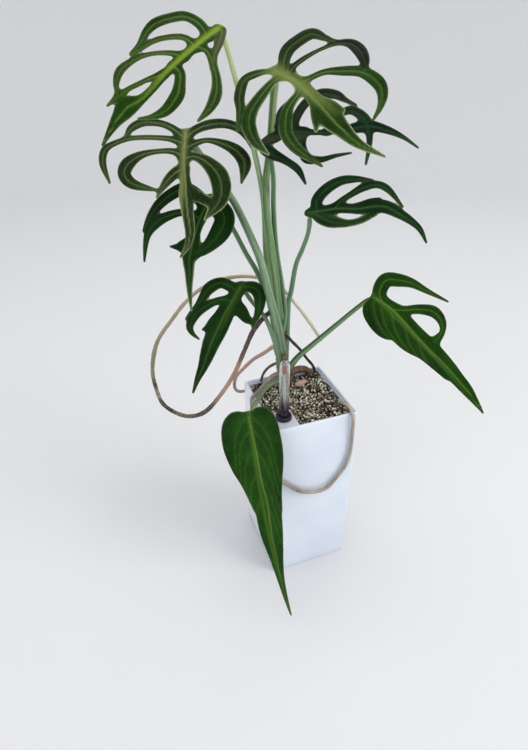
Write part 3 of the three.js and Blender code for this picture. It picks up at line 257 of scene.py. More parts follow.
LEAVES: tuple[LeafForm, ...] = (
    LeafForm(
        "top_left", base=(-61, 42, 538), tip=(-161, 10, 461), face=(-0.3, -0.8, 0.52),
        arch=10, fold=0.1, sag=6, wave=2, phase=0.3, ribs=(
            ((0, 0, 3.5), (20, -1, 4.5), (40, -1, 4), (60, -1, 3.5), (75, -2, 3.2), (88, -1, 4),
             (99, 3, 7.5), (108, 3, 5.5), (118, 2, 3.2), (131, 0, 1)),
            ((13, -1, 4), (9, 11, 5), (12, 22, 5), (22, 28, 4.5), (34, 33, 4.5), (44, 33, 3.5),
             (55, 30, 2.2), (66, 29, 1)),
            ((27, -1, 4), (28, 10, 3), (38, 19, 2.5), (47, 24, 2.5), (56, 26, 2), (64, 28, 1)),
            ((41, -1, 4), (45, 7, 2.5), (55, 17, 2), (66, 23, 2.5), (80, 25, 3.5), (90, 21, 2.5),
             (98, 13, 1)),
            ((62, 0, 3), (72, 5, 2), (80, 8, 2), (88, 11, 2), (97, 13, 2.5), (107, 15, 1)),
            ((8, -2, 4), (-1, -3, 3.5), (10, -10, 3.5), (23, -16, 2.5), (33, -23, 1)),
            ((27, -1, 4), (24, -9, 3), (30, -21, 3), (40, -33, 4), (50, -40, 4.5), (63, -44, 3),
             (74, -44, 1)),
            ((52, -1, 3.5), (53, -8, 4), (61, -15, 4.5), (70, -20, 5.5), (83, -21, 4.5),
             (93, -16, 2.2), (100, -9, 1)),
        ),
    ),
    LeafForm(
        "top_right", base=(-19, 26, 508), tip=(39, -55, 451), face=(-0.3, -0.8, 0.52),
        arch=8, fold=0.08, sag=6, wave=2, phase=1.2, ribs=(
            ((-1, 0, 4), (7, 0, 5), (21, -2, 5), (45, 2, 6), (61, 5, 10), (76, 7, 7.5), (95, 7, 4),
             (115, 0, 1)),
            ((8, -2, 5), (1, -9, 5), (-5, -20, 6.5), (-4, -32, 6.5), (0, -43, 6), (11, -46, 3.5),
             (20, -48, 2)),
            ((14, -3, 4), (11, -10, 3), (13, -23, 2.5), (17, -36, 2), (23, -48, 3), (32, -54, 5),
             (43, -52, 5.5), (53, -46, 4), (59, -40, 1)),
            ((26, -2, 4), (29, -8, 3), (35, -20, 3), (46, -29, 4.5), (58, -37, 5), (72, -39, 6),
             (81, -35, 4.5), (87, -26, 2.5), (90, -15, 1)),
            ((2, 1, 3), (-5, 5, 3), (-12, 12, 4.5), (-16, 21, 5), (-8, 34, 5), (3, 44, 3.5),
             (14, 59, 1)),
            ((10, 1, 4), (7, 10, 4), (9, 27, 5.5), (12, 40, 6), (19, 50, 6), (32, 56, 4.5),
             (47, 57, 1)),
            ((30, 1, 4), (32, 8, 3.5), (34, 20, 4.5), (41, 31, 5.5), (50, 38, 5), (66, 41, 4),
             (87, 39, 1)),
            ((51, 5, 4), (56, 12, 4), (64, 21, 1.5)),
            ((52, 3, 4), (58, -2, 3.5), (68, -5, 1.5)),
        ),
    ),
    LeafForm(
        "behind_right", base=(-22, 30, 454), tip=(74, -46, 453), face=(-0.25, -0.72, 0.64),
        arch=8, fold=0.1, sag=5, wave=1.5, phase=2, ribs=(
            ((0, 0, 4.5), (21, -5, 3.5), (43, -4, 2.5), (60, -6, 2.5), (73, -10, 5), (84, -13, 5),
             (98, -11, 3.5), (111, -7, 2), (123, -1, 1)),
            ((10, -4, 4), (5, -14, 4), (5, -27, 3.5), (10, -37, 2)),
            ((22, -4, 4), (20, -16, 4.5), (25, -31, 5), (35, -40, 5.5), (50, -39, 4.5),
             (60, -34, 2.5), (69, -31, 1)),
            ((50, -5, 3.5), (55, -18, 3.5), (66, -25, 4), (78, -19, 4.5), (84, -6, 3), (86, 8, 2),
             (86, 22, 1)),
            ((29, -4, 5), (31, 9, 4), (38, 20, 4.5), (50, 21, 3), (61, 17, 2), (73, 13, 1)),
            ((5, 0, 5), (-5, 5, 5.5), (5, 15, 5.5), (19, 22, 3.5), (32, 30, 3), (41, 42, 1)),
        ),
    ),
    LeafForm(
        "middle_left", base=(-85, 74, 457), tip=(-105, 32, 356), face=(-0.35, -0.8, 0.5),
        arch=9, fold=0.08, sag=5, wave=2, phase=0.8, ribs=(
            ((1, 0, 4), (16, 0, 4), (31, -1, 4.2), (46, -3, 5), (57, -4, 6.5), (73, -6, 5.5),
             (88, -8, 4.5), (100, -6, 3), (111, 1, 1)),
            ((6, 1, 4.5), (-2, 11, 3.5), (-7, 23, 3.5), (-8, 38, 4.5), (-3, 48, 4.5), (7, 54, 1)),
            ((12, 0, 4.5), (8, 11, 3), (7, 26, 2.5), (8, 48, 2.5), (13, 64, 3), (19, 72, 4),
             (31, 73, 3.5), (48, 66, 1)),
            ((23, 0, 4.5), (19, 10, 3), (20, 25, 2.5), (24, 39, 4), (32, 50, 6.5), (41, 52, 6),
             (49, 43, 4.5), (54, 21, 1)),
            ((34, -1, 5), (38, 6, 5), (47, 14, 4), (60, 22, 1)),
            ((6, -1, 4.5), (-2, -9, 4.5), (-7, -21, 5), (-8, -35, 4.5), (-4, -47, 4), (4, -55, 3),
             (13, -59, 1)),
            ((15, -2, 4.5), (10, -12, 3), (8, -22, 2.5), (12, -38, 4.5), (19, -49, 6),
             (29, -54, 5.5), (45, -52, 1)),
            ((25, -1, 4.5), (23, -10, 4), (28, -21, 6), (38, -31, 8.5), (50, -35, 8.5),
             (63, -33, 6.5), (78, -21, 1)),
            ((53, -6, 5), (59, -17, 5), (64, -27, 4)),
        ),
    ),
    LeafForm(
        "hanging_left", base=(-68, 61, 398), tip=(-100, 30, 303), face=(-0.4, -0.75, 0.52),
        arch=8, fold=0.1, sag=4, wave=1.5, phase=1.6, ribs=(
            ((-1, 0, 4.5), (16, 5, 6.5), (32, 7, 5), (50, 8, 8), (60, 8, 6), (70, 6, 4.5),
             (84, 4, 3), (105, 0, 1)),
            ((7, 3, 6.5), (-1, 14, 6.5), (-5, 27, 6.5), (4, 39, 6), (16, 48, 5), (29, 54, 3),
             (40, 57, 1)),
            ((19, 7, 4.5), (17, 22, 3.5), (23, 36, 4.5), (32, 47, 5.5), (45, 52, 3.5), (68, 50, 1)),
            ((42, 8, 6), (47, 15, 6), (49, 21, 3.2), (50, 28, 1)),
            ((7, 1, 6.5), (8, -10, 9), (16, -17, 9.5), (29, -15.5, 9.5), (44, -7, 6), (52, 3, 4.5)),
        ),
    ),
    LeafForm(
        "middle_right", base=(18, 34, 383), tip=(97, -44, 371), face=(-0.25, -0.72, 0.64),
        arch=6, fold=0.15, sag=6, wave=1.5, phase=2.6, ribs=(
            ((1, -1, 4.5), (16, -6, 5), (29, -10, 5), (46, -13, 5), (60, -19, 6.5), (70, -21, 6.5),
             (83, -18, 5), (95, -14, 3.5), (104, -9, 2.5), (112, 0, 1)),
            ((9, -4, 4.5), (5, -12, 6), (6, -21, 6.5), (12, -31, 6.5), (21, -38, 5.5), (33, -41, 4),
             (48, -43, 1.5)),
            ((24, -9, 4.5), (28, -17, 3.5), (36, -26, 3.5), (45, -35, 4.5), (55, -40, 4),
             (66, -38, 3.5), (83, -26, 1)),
            ((46, -14, 4.5), (54, -20, 4.5), (61, -27, 1)),
            ((8, -2, 5.5), (16, 2, 7), (25, 4, 7), (33, 4, 5.5), (42, 2.5, 4), (52, -3, 3.5),
             (61, -12, 3.5)),
        ),
    ),
    LeafForm(
        "small_left", base=(-47, 39, 316), tip=(-108, 10, 224), face=(-0.35, -0.8, 0.5),
        arch=7, fold=0.1, sag=5, wave=1.5, phase=0.2, ribs=(
            ((1, 1, 5), (11, 1, 6), (21, 2, 7.5), (34, 3, 9), (47, 3, 9.5), (61, 3, 8.5),
             (74, 2, 7), (86, 1, 5), (99, 1, 3), (114, 0, 1)),
            ((7, 2, 5), (5, 10, 5.5), (6, 20, 5.5), (15, 27, 6), (27, 29, 4), (38, 31, 2.5),
             (51, 35, 1)),
            ((17, 2, 5), (20, 11, 3.5), (29, 20, 4), (42, 28, 5), (55, 29, 4), (61, 24, 2.5),
             (64, 14.5, 0.8)),
            ((35, 2, 6), (43, 8, 6), (50, 12, 3.5), (54, 16, 1)),
            ((6, 1, 5), (-1, -4, 5), (-3, -13, 6.5), (2, -20, 6), (13, -25, 4.5), (33, -27, 1)),
            ((19, 1, 7), (22, -9, 6.5), (27, -18, 4.5), (29, -25, 1)),
        ),
    ),
    LeafForm(
        "low_right", base=(80, 3, 300), tip=(168, -81, 191), face=(-0.3, -0.72, 0.62),
        arch=10, fold=0.12, sag=5, wave=1.5, phase=1, ribs=(
            ((3, 0, 5), (20, -3, 8), (36, -3, 8.5), (54, -2, 9), (76, -2, 10), (100, -3, 8.5),
             (117, -3, 7), (132, -3, 6), (148, -2, 3.5), (163, -1, 1)),
            ((11, -1, 6), (1, -7, 7), (-3, -20, 7.5), (5, -29, 7), (17, -37, 5), (33, -42, 3),
             (54, -49, 1)),
            ((21, -3, 5), (30, -11, 4.5), (40, -23, 5), (51, -31, 6), (63, -30, 4.5), (71, -23, 3),
             (73, -12, 5)),
            ((6, 1, 6), (9, 11, 10.5), (20, 14, 12), (30, 13.5, 12), (39, 10, 10), (56, 9, 9),
             (72, 5, 7.5), (86, 3, 7), (105, 1, 6)),
        ),
    ),
    LeafForm(
        "heart_front", base=(-62, -24, 213), tip=(-48, -105, 16), face=(-0.62, -0.7, 0.3),
        arch=12, fold=0.1, sag=3, wave=1, phase=0, ribs=(
            ((4, 1, 5.5), (35, -2, 14), (65, -3, 15.5), (87, -5, 14), (117, -3, 12), (146, -2, 7),
             (169, -1, 4), (213, 0, 1)),
            ((12, 1, 7.5), (12, 14, 14), (27, 17, 14.5), (46, 13, 14.5), (66, 7, 11.5),
             (88, 2, 9.5)),
            ((12, -1, 7.5), (8, -13, 13), (23, -16, 13.5), (42, -15, 14), (64, -13, 11.5),
             (88, -9, 10.5)),
        ),
    ),
)

STALKS: tuple[StalkForm, ...] = (
    StalkForm("top_left", (2.9, 1.9), (
        (-10, 42, 290), (-15, 43, 310), (-20, 44, 343), (-23, 41, 388), (-26, 42, 414),
        (-34, 36, 443), (-39, 43, 470), (-45, 51, 500), (-54, 48, 528), (-61, 42, 538),
        (-63, 39, 539),
    )),
    StalkForm("top_right", (4, 3), (
        (-8, 36, 275), (-12, 31, 293), (-16, 29, 326), (-20, 31, 358), (-24, 32, 391),
        (-23, 36, 417), (-20, 38, 436), (-18, 38, 456), (-18, 33, 484), (-18, 29, 500),
        (-20, 23, 509),
    )),
    StalkForm("behind_right", (3.1, 2), (
        (-4, 41, 254), (0, 43, 277), (-4, 42, 309), (-12, 37, 349), (-16, 35, 390), (-20, 26, 421),
        (-22, 27, 438), (-22, 30, 450), (-23, 27, 456),
    )),
    StalkForm("middle_left", (4.2, 3.1), (
        (-6, 35, 237), (-11, 30, 260), (-19, 22, 288), (-26, 21, 314), (-29, 27, 334),
        (-32, 39, 352), (-45, 61, 391), (-61, 71, 417), (-74, 76, 438), (-82, 77, 450),
        (-86, 70, 459),
    )),
    StalkForm("hanging_left", (3.2, 2.1), (
        (-6, 42, 229), (-7, 49, 247), (-14, 53, 289), (-25, 57, 320), (-35, 61, 340),
        (-46, 63, 364), (-57, 64, 384), (-68, 60, 399), (-70, 57, 402),
    )),
    StalkForm("middle_right", (3.2, 2), (
        (-1, 36, 223), (3, 42, 249), (6, 47, 285), (8, 45, 299), (11, 42, 328), (17, 40, 346),
        (21, 38, 361), (22, 37, 374), (18, 30, 387),
    )),
    StalkForm("small_left", (2.7, 1.8), (
        (-7, 36, 216), (-15, 26, 246), (-23, 25, 272), (-28, 30, 285), (-36, 36, 296),
        (-43, 40, 308), (-50, 34, 320),
    ), hidden=4),
    StalkForm("low_right", (3.1, 2.1), (
        (0, 32, 209), (7, 24, 230), (23, 18, 248), (46, 15, 267), (66, 13, 283), (77, 9, 293),
        (80, -2, 302),
    )),
    StalkForm("heart_front", (2.8, 1.9), (
        (-3, 32, 201), (-15, 27, 204), (-26, 18, 208), (-37, 7, 210), (-46, -6, 212),
        (-56, -18, 214), (-63, -27, 215),
    )),
)

ROOTS: tuple[RootForm, ...] = (
    RootForm("root_long_loop", (2.4, 1.7), (
        (-12, 40, 284), (-17, 38, 283), (-26, 36, 278), (-38, 33, 267), (-50, 31, 243),
        (-60, 31, 221), (-75, 34, 196), (-92, 40, 174), (-111, 49, 168), (-130, 60, 179),
        (-136, 67, 198), (-137, 72, 220), (-129, 75, 249), (-112, 75, 272), (-95, 75, 291),
        (-75, 74, 305), (-47, 73, 311), (-20, 67, 309), (2, 59, 298), (16, 52, 280), (28, 45, 262),
        (42, 37, 237),
    ), knots=0.35),
    RootForm("root_behind_rim", (2.2, 1.6), (
        (-6, 37, 246), (-11, 38, 243), (-20, 48, 229), (-30, 56, 218), (-39, 61, 206),
        (-48, 63, 195), (-51, 61, 184), (-46, 64, 174), (-35, 68, 169),
    ), knots=0.2),
    RootForm("root_left_corner", (1.6, 1.3), (
        (-4, 36, 222), (-14, 41, 216), (-20, 44, 209), (-25, 43, 201), (-27, 41, 188),
    ), knots=0.1),
    RootForm("root_garland", (2.2, 1.7), (
        (-3, 33, 215), (-9, 32, 211), (-17, 32, 208), (-24, 29, 205), (-31, 25, 202),
        (-38, 18, 202), (-44, 12, 203.6), (-48, 10, 199), (-48.5, 0, 182), (-48, -20, 165),
        (-48, -38, 155), (-47, -47, 149), (-38, -48, 140), (-28, -48, 129), (-16, -48, 118),
        (-2, -48, 112), (13, -48, 112), (24, -48, 123), (34, -48, 137), (38, -48, 155),
        (38.5, -48, 178), (37.5, -48.5, 196), (37, -45, 203.4), (38, -38, 203.4), (39, -27, 199),
        (40, -14, 192),
    ), knots=0.25),
    RootForm("root_back_corner", (1.8, 1.5), (
        (-5, 37, 256), (0, 38, 253), (8, 40, 242), (19, 42, 228), (28, 43, 214), (36, 41, 202),
        (38, 39, 188),
    ), knots=0.1),
)

BLADE_COLOURS: dict[str, BladeColours] = {
    "top_left": BladeColours(0x031503, 0x1A4A0A, 0x869E40, 0x829D23, 0x454133, 0.74, 1.7, 0.24),
    "top_right": BladeColours(0x031403, 0x1F4C0E, 0x86954F, 0x7A8845, 0x434530, 0.62, 5.2, 0.28),
    "behind_right": BladeColours(0x03150B, 0x11371C, 0x3D563D, 0x454B36, 0x434434, 0.4, 3.6, 0.3),
    "middle_left": BladeColours(0x031003, 0x1B4510, 0xA6A878, 0x7F884E, 0x403B2D, 0.95, 2.6, 0.28),
    "hanging_left": BladeColours(0x031505, 0x153E11, 0x4E6A32, 0x334E1E, 0x3B4032, 0.5, 2.4, 0.28),
    "middle_right": BladeColours(0x031707, 0x113A18, 0x4A6636, 0x2B481E, 0x3B4032, 0.4, 2.4, 0.28),
    "small_left": BladeColours(0x041806, 0x173D11, 0x4E6A2D, 0x334E1C, 0x3B4032, 0.5, 2.4, 0.28),
    "low_right": BladeColours(0x031E03, 0x184A0A, 0x738D3A, 0x3E631E, 0x3B4032, 0.9, 1.8, 0.26),
    "heart_front": BladeColours(0x052304, 0x215613, 0x7A9545, 0x486C21, 0x39482D, 1.1, 1.6, 0.26),
}

VENATION: dict[str, Venation] = {
    "top_left": Venation(tones=((5, 0.9), (2, 0.25), (3, 0.15)), pale=(6,)),
    "top_right": Venation(
        blind=(7, 8), tones=((2, -0.95), (1, -0.45), (4, 0.12)), pale=(0, 5, 6, 7, 8)
    ),
    "behind_right": Venation(tones=((1, 0.45), (2, 0.35), (3, 0.2))),
    "middle_left": Venation(blind=(8,), tones=((0, 0.05),), pale=(0, 4, 7, 8)),
    "hanging_left": Venation(blind=(3,), pale=(0,)),
    "middle_right": Venation(blind=(3,), pale=(4,)),
    "small_left": Venation(blind=(3, 5)),
    "low_right": Venation(blind=(3,), laterals=5, sides=(1,)),
    "heart_front": Venation(blind=(1, 2), laterals=5),
}


class NodeTree:
    """A node tree written in code."""

    def __init__(self, tree: bpy.types.NodeTree) -> None:
        """Takes an empty tree to write in."""
        self.tree = tree

    def fill(self, socket: Socket, value: object) -> None:
        """Gives a socket a link or a value, which for a colour may be written as 0xRRGGBB."""
        if isinstance(value, Socket):
            self.tree.links.new(value, socket)
        elif isinstance(value, int) and socket.type == "RGBA":
            socket.default_value = (*srgb(value), 1.0)
        else:
            socket.default_value = value

    def node(
        self, kind: str, inputs: dict[str | int, object] | None = None, **settings: object
    ) -> bpy.types.Node:
        """Adds a node.

        Args:
            kind: The type of the node.
            inputs: Links or values of its sockets, by name or number.
            **settings: Values of the node's own properties.

        Returns:
            The new node.
        """
        node = self.tree.nodes.new(kind)
        for key, value in settings.items():
            setattr(node, key, value)
        for key, value in (inputs or {}).items():
            named = [s for s in node.inputs if s.name == key and s.enabled]
            self.fill(named[0] if named else node.inputs[key], value)
        return node

    def sum(self, kind: str, first: object, second: object) -> Socket:
        """Returns the result of a sum of the named kind on two values."""
        return self.node("ShaderNodeMath", {0: first, 1: second}, operation=kind).outputs[0]

    def span(
        self, value: object, low: object, high: object, to_low: object = 0.0, to_high: object = 1.0
    ) -> Socket:
        """Returns a value moved from one range into another and held inside it."""
        names = ("Value", "From Min", "From Max", "To Min", "To Max")
        inputs = dict(zip(names, (value, low, high, to_low, to_high)))
        return self.node("ShaderNodeMapRange", inputs).outputs["Result"]

    def scaled(self, vector: Socket, factor: Socket) -> Socket:
        """Returns a vector times a factor."""
        inputs = {0: vector, "Scale": factor}
        return self.node("ShaderNodeVectorMath", inputs, operation="SCALE").outputs[0]


class Wiring(NodeTree):
    """The nodes of one procedural material."""

    def __init__(self, name: str) -> None:
        """Starts a named material that ends in one shader, with the object's coordinates ready."""
        self.material = bpy.data.materials.new(name)
        self.material.use_nodes = True
        super().__init__(self.material.node_tree)
        self.tree.nodes.clear()
        self.shader = self.node("ShaderNodeBsdfPrincipled")
        self.node("ShaderNodeOutputMaterial", {"Surface": self.shader.outputs[0]})
        self.place: Socket = self.node("ShaderNodeTexCoord").outputs["Object"]

    def shade(self, **values: object) -> None:
        """Sets the shader's own sockets, named with underscores for spaces."""
        for name, value in values.items():
            self.fill(self.shader.inputs[name.replace("_", " ")], value)

    def attribute(self, name: str, output: str = "Fac") -> Socket:
        """Returns an attribute stored on the piece."""
        return self.node("ShaderNodeAttribute", attribute_name=name).outputs[output]

    def skin(self, stretch: Point) -> Socket:
        """Returns the place round and along a tube, stretched."""
        inputs = {"Vector": self.attribute("skin", "Vector"), "Scale": stretch}
        return self.node("ShaderNodeMapping", inputs).outputs["Vector"]

    def noise(
        self, scale: float, detail: float = 3.0, rough: float = 0.5, at: Socket | None = None
    ) -> Socket:
        """Returns the value of a noise, at the object's own coordinates if no others are given."""
        place = self.place if at is None else at
        inputs = {"Scale": scale, "Detail": detail, "Roughness": rough, "Vector": place}
        return self.node("ShaderNodeTexNoise", inputs).outputs["Fac"]

    def cells(self, scale: float, output: str = "Distance") -> Socket:
        """Returns an output of a cell texture at the object's own coordinates."""
        inputs = {"Scale": scale, "Vector": self.place}
        return self.node("ShaderNodeTexVoronoi", inputs).outputs[output]

    def steps(self, value: Socket, stops: Bands) -> Socket:
        """Returns a colour that follows a value through the given stops."""
        node = self.node("ShaderNodeValToRGB", {"Fac": value})
        ramp = node.color_ramp
        while len(ramp.elements) < len(stops):
            ramp.elements.new(0.5)
        for element, (at, code) in zip(ramp.elements, stops):
            element.position = at
            element.color = (*srgb(code), 1.0)
        return node.outputs["Color"]

    def plus(self, first: object, second: object) -> Socket:
        """Returns two values added."""
        return self.sum("ADD", first, second)

    def times(self, first: object, second: object) -> Socket:
        """Returns two values multiplied."""
        return self.sum("MULTIPLY", first, second)

    def blend(self, share: object, first: object, second: object) -> Socket:
        """Returns a colour between two colours."""
        inputs = {0: share, 6: first, 7: second}
        return self.node("ShaderNodeMix", inputs, data_type="RGBA").outputs[2]

    def cover(
        self, under: object, over: object, value: Socket, low: float, high: float, most: float = 1.0
    ) -> Socket:
        """Lays a colour over another where a value rises.

        Args:
            under: The colour below.
            over: The colour on top.
            value: What decides where it shows.
            low: The value up to which it doesn't show.
            high: The value from which it shows most.
            most: How much it then hides.

        Returns:
            The mixed colour.
        """
        return self.blend(self.span(value, low, high, 0.0, most), under, over)

    def roughen(self, value: Socket, low: float, high: float) -> None:
        """Spreads the roughness between two numbers by the middle range of a noise."""
        self.shade(Roughness=self.span(value, 0.3, 0.7, low, high))

    def bump(self, height: Socket, distance: float) -> None:
        """Makes the surface uneven by a height, with distance in millimetres."""
        inputs = {"Distance": distance * MM, "Strength": 1.0, "Height": height}
        self.shade(Normal=self.node("ShaderNodeBump", inputs).outputs["Normal"])


@dataclass(frozen=True)
class BladeFinish:
    """The upper skin, underside, thin margin and veins of a blade."""

    name: str
    colours: BladeColours
    # shadow is the colour of the painted shade on dark lobes.
    shadow: int = 0x040A05
    frill: int = 0xA9B686
    pale: int = 0xA9B47E

    def upper(self) -> Material:
        """Returns the upper skin: mottled green and lime at the heart. It is lighter along the
        veins, partly the leaf's own paler halo and partly painted light, and lighter towards the
        middle with painted shade towards the lobe ends; dark lobes get painted shade.
        """
        c = self.colours
        w = Wiring(f"{self.name}_upper")
        mottle = w.span(w.noise(42.0, 4.0, 0.6), 0.38, 0.7, 0.0, 0.5)
        # near carries painted light: lighter beside the veins, where the leaf also has its own
        # paler halo, and towards the middle of the blade, which leaves painted shade at the lobe
        # ends.
        lit = w.plus(mottle, w.times(w.attribute("near"), 0.5))
        colour = w.blend(lit, c.deep, c.green)
        tone = w.attribute("tone")
        colour = w.cover(colour, c.under, tone, 0.0, 1.0, 0.85)
        colour = w.blend(w.times(w.attribute("glow"), 0.5), colour, c.vein)
        patches = w.span(w.noise(90.0), 0.3, 0.7, 0.7, 1.0)
        colour = w.blend(w.times(w.attribute("heart"), patches), colour, c.heart)
        net = w.cells(620.0)
        colour = w.cover(colour, c.vein, net, 0.3, 0.7, 0.05)
        # Painted shade: a tone below 0 darkens the lobe towards the shadow colour.
        colour = w.cover(colour, self.shadow, tone, 0.0, -1.0, 0.85)
        broken = w.span(w.noise(26.0), 0.4, 0.56, 0.15, 1.0)
        colour = w.blend(w.times(w.attribute("rim"), broken), colour, self.frill)
        w.shade(Base_Color=colour, Specular_IOR_Level=0.06)
        w.roughen(w.noise(130.0, 2.0), c.gloss, c.gloss + 0.14)
        w.bump(w.plus(w.times(net, 0.5), w.noise(300.0)), 0.35)
        return w.material

    def underside(self) -> Material:
        """Returns the underside: paler and duller, with the same net of veins."""
        c = self.colours
        w = Wiring(f"{self.name}_under")
        colour = w.cover(w.blend(0.62, c.green, c.under), c.under, w.noise(70.0, 4.0), 0.3, 0.7)
        colour = w.blend(w.times(w.attribute("glow"), 0.5), colour, c.vein)
        net = w.cells(560.0)
        colour = w.cover(colour, c.vein, net, 0.2, 0.6, 0.25)
        w.shade(Base_Color=colour, Specular_IOR_Level=0.35)
        w.roughen(w.noise(140.0), 0.46, 0.6)
        w.bump(net, 0.3)
        return w.material

    def margin(self) -> Material:
        """Returns the thin light margin round the blade."""
        w = Wiring(f"{self.name}_margin")
        w.shade(Base_Color=w.cover(self.colours.green, self.pale, w.noise(40.0), 0.4, 0.62))
        w.roughen(w.noise(160.0), 0.4, 0.55)
        return w.material

    def vein(self) -> Material:
        """Returns the raised veins: light at the base of the blade, green towards the tips."""
        c = self.colours
        w = Wiring(f"{self.name}_vein")
        colour = w.blend(w.attribute("fade"), c.vein, c.green)
        colour = w.cover(colour, c.green, w.noise(220.0), 0.35, 0.65, 0.3)
        w.shade(Base_Color=colour, Specular_IOR_Level=0.12)
        w.roughen(w.noise(300.0), 0.36, 0.5)
        return w.material


@dataclass(frozen=True)
class StalkFinish:
    """Waxy skin of a leaf stalk, from the stem up to the blade."""

    low: int
    high: int
    shade: int
    speckle: float = 0.35
    bloom: int = 0xB3C6B2
    wax: int = 0xD5E2D2

    def build(self, name: str) -> Material:
        """Returns the named material, streaked along the stalk and dotted with pale wax."""
        w = Wiring(f"{name}_skin")
        share = w.attribute("share")
        colour = w.steps(share, ((0.0, self.low), (0.55, self.low), (1.0, self.high)))
        streak = w.noise(1.6, 4.0, 0.6, w.skin((0.3, 0.3, 0.022)))
        colour = w.cover(colour, self.shade, streak, 0.44, 0.56, 0.9)
        colour = w.cover(colour, self.bloom, streak, 0.46, 0.33, 0.6)
        dots = w.span(w.cells(520.0), 0.16, 0.28, self.speckle, 0.0)
        dots = w.times(dots, w.span(share, 0.0, 0.9, 1.0, 0.2))
        w.shade(Base_Color=w.blend(dots, colour, self.wax), Specular_IOR_Level=0.4)
        w.roughen(w.noise(180.0), 0.36, 0.52)
        w.bump(w.plus(streak, w.times(w.noise(420.0), 0.4)), 0.4)
        return w.material


@dataclass(frozen=True)
class RootFinish:
    """Dry skin of a root or stem: colours in order along its length."""

    bands: Bands
    dust: int = 0xC9B49C
    crack: int = 0x2E211B

    def build(self, name: str) -> Material:
        """Returns the named material, ringed across and cracked along its length."""
        w = Wiring(f"{name}_skin")
        wobble = w.span(w.noise(60.0), 0.2, 0.8, -0.02, 0.02)
        colour = w.steps(w.plus(w.attribute("share"), wobble), self.bands)
        ring = w.noise(1.0, 3.0, 0.7, w.skin((0.2, 0.2, 0.9)))
        colour = w.cover(colour, self.crack, ring, 0.52, 0.75, 0.55)
        flecks = w.noise(380.0, 4.0, 0.7)
        colour = w.cover(colour, self.dust, flecks, 0.5, 0.75, 0.5)
        w.shade(Base_Color=colour, Specular_IOR_Level=0.5)
        w.roughen(flecks, 0.28, 0.56)
        w.bump(w.plus(ring, w.times(flecks, 0.7)), 0.6)
        return w.material


@dataclass(frozen=True)
class PlasticFinish:
    """Moulded plastic of one colour, with fine unevenness and handling marks.

    A clear coat is stained where the tube stands in the collar: fully up to the first height of
    stained_to, in metres, and not at all from the second on.
    """

    colour: int
    mark: int
    coat: Coat
    stain: int = 0x6A4650
    stained_to: Pair = (0.212, 0.224)

    def build(self, name: str) -> Material:
        """Returns the named material for the chosen coat."""
        w = Wiring(f"{name}_plastic")
        colour = w.cover(self.colour, self.mark, w.noise(14.0), 0.35, 0.65)
        scuffs = w.span(w.noise(480.0, 5.0, 0.7), 0.55, 0.8, 0.0, 0.25)
        colour = w.blend(w.times(scuffs, 0.4), colour, self.mark)
        rough = self.coat.value
        w.shade(Roughness=w.span(w.noise(260.0, 4.0), 0.3, 0.75, rough, rough * 1.5 + 0.02))
        if self.coat is Coat.CLEAR:
            w.shade(Transmission_Weight=0.94, IOR=1.2, Coat_Weight=0.6)
            height = w.node("ShaderNodeSeparateXYZ", {0: w.place}).outputs["Z"]
            colour = w.blend(w.span(height, *self.stained_to, 0.85, 0.0), colour, self.stain)
        elif self.coat is Coat.GLOSS:
            w.shade(Coat_Weight=0.6, Coat_Roughness=0.06)
            w.bump(w.noise(90.0, 2.0), 0.05)
        else:
            w.bump(w.noise(700.0, 2.0), 0.05)
        w.shade(Base_Color=colour)
        return w.material


@dataclass(frozen=True)
class GranuleFinish:
    """Mineral and bark granules, each with a colour of its own, and the bed under them."""

    grit: int = 0x5C4F3B
    # The bed stands for the granules under the loose ones; its darker colours are partly painted
    # shade of the gaps between them.
    shaded_deep_grains: Bands = ((0.0, 0x17130F), (0.5, 0x4D4334), (1.0, 0x8B7B5A))
    grains: Bands = (
        (0.0, 0x100E0B), (0.22, 0x221D17), (0.32, 0x4A4132), (0.42, 0x9A8D6A), (0.54, 0xCFC6A4),
        (0.68, 0xE4DFCB), (0.82, 0xF0EEE4), (1.0, 0xF8F8F4),
    )

    def loose(self) -> Material:
        """Returns the material of the granules: cream, white, tan and near-black."""
        w = Wiring("mixed_grain")
        grit = w.noise(1400.0, 4.0, 0.7)
        colour = w.cover(w.steps(w.attribute("tint"), self.grains), self.grit, grit, 0.5, 0.75, 0.5)
        w.shade(Base_Color=colour, Specular_IOR_Level=0.3)
        w.roughen(grit, 0.7, 0.95)
        w.bump(grit, 0.5)
        return w.material

    def bed(self) -> Material:
        """Returns the darker material of the bed: the granules below, with painted shade of the
        gaps between the loose ones.
        """
        w = Wiring("bed_of_granules")
        w.shade(Base_Color=w.steps(w.cells(420.0, "Color"), self.shaded_deep_grains))
        w.roughen(w.noise(900.0), 0.75, 0.95)
        w.bump(w.cells(420.0), 1.0)
        return w.material


@dataclass(frozen=True)
class StageFinish:
    """Pale matt surface of the floor."""

    colour: int = 0xE9E9EA

    def build(self) -> Material:
        """Returns the material, with a trace of unevenness in how matt it is."""
        w = Wiring("floor_plain")
        w.shade(Base_Color=self.colour)
        w.roughen(w.noise(3.0, 2.0), 0.84, 0.86)
        return w.material


def add_object(name: str, data: bpy.types.ID) -> Piece:
    """Puts a mesh, a lamp or a camera into the scene."""
    thing = bpy.data.objects.new(name, data)
    bpy.context.scene.collection.objects.link(thing)
    return thing


def store(mesh: bpy.types.Mesh, name: str, values: np.ndarray) -> None:
    """Stores a number or a vector for each point of a mesh."""
    kind, member = ("FLOAT_VECTOR", "vector") if values.ndim == 2 else ("FLOAT", "value")
    layer = mesh.attributes.new(name, kind, "POINT")
    layer.data.foreach_set(member, values.astype(np.float32).ravel())


def shade_smooth(mesh: bpy.types.Mesh, angle: float) -> None:
    """Shades a mesh smooth, but for edges sharper than an angle in degrees."""
    mesh.shade_smooth()
    mesh.set_sharp_from_angle(angle=math.radians(angle))


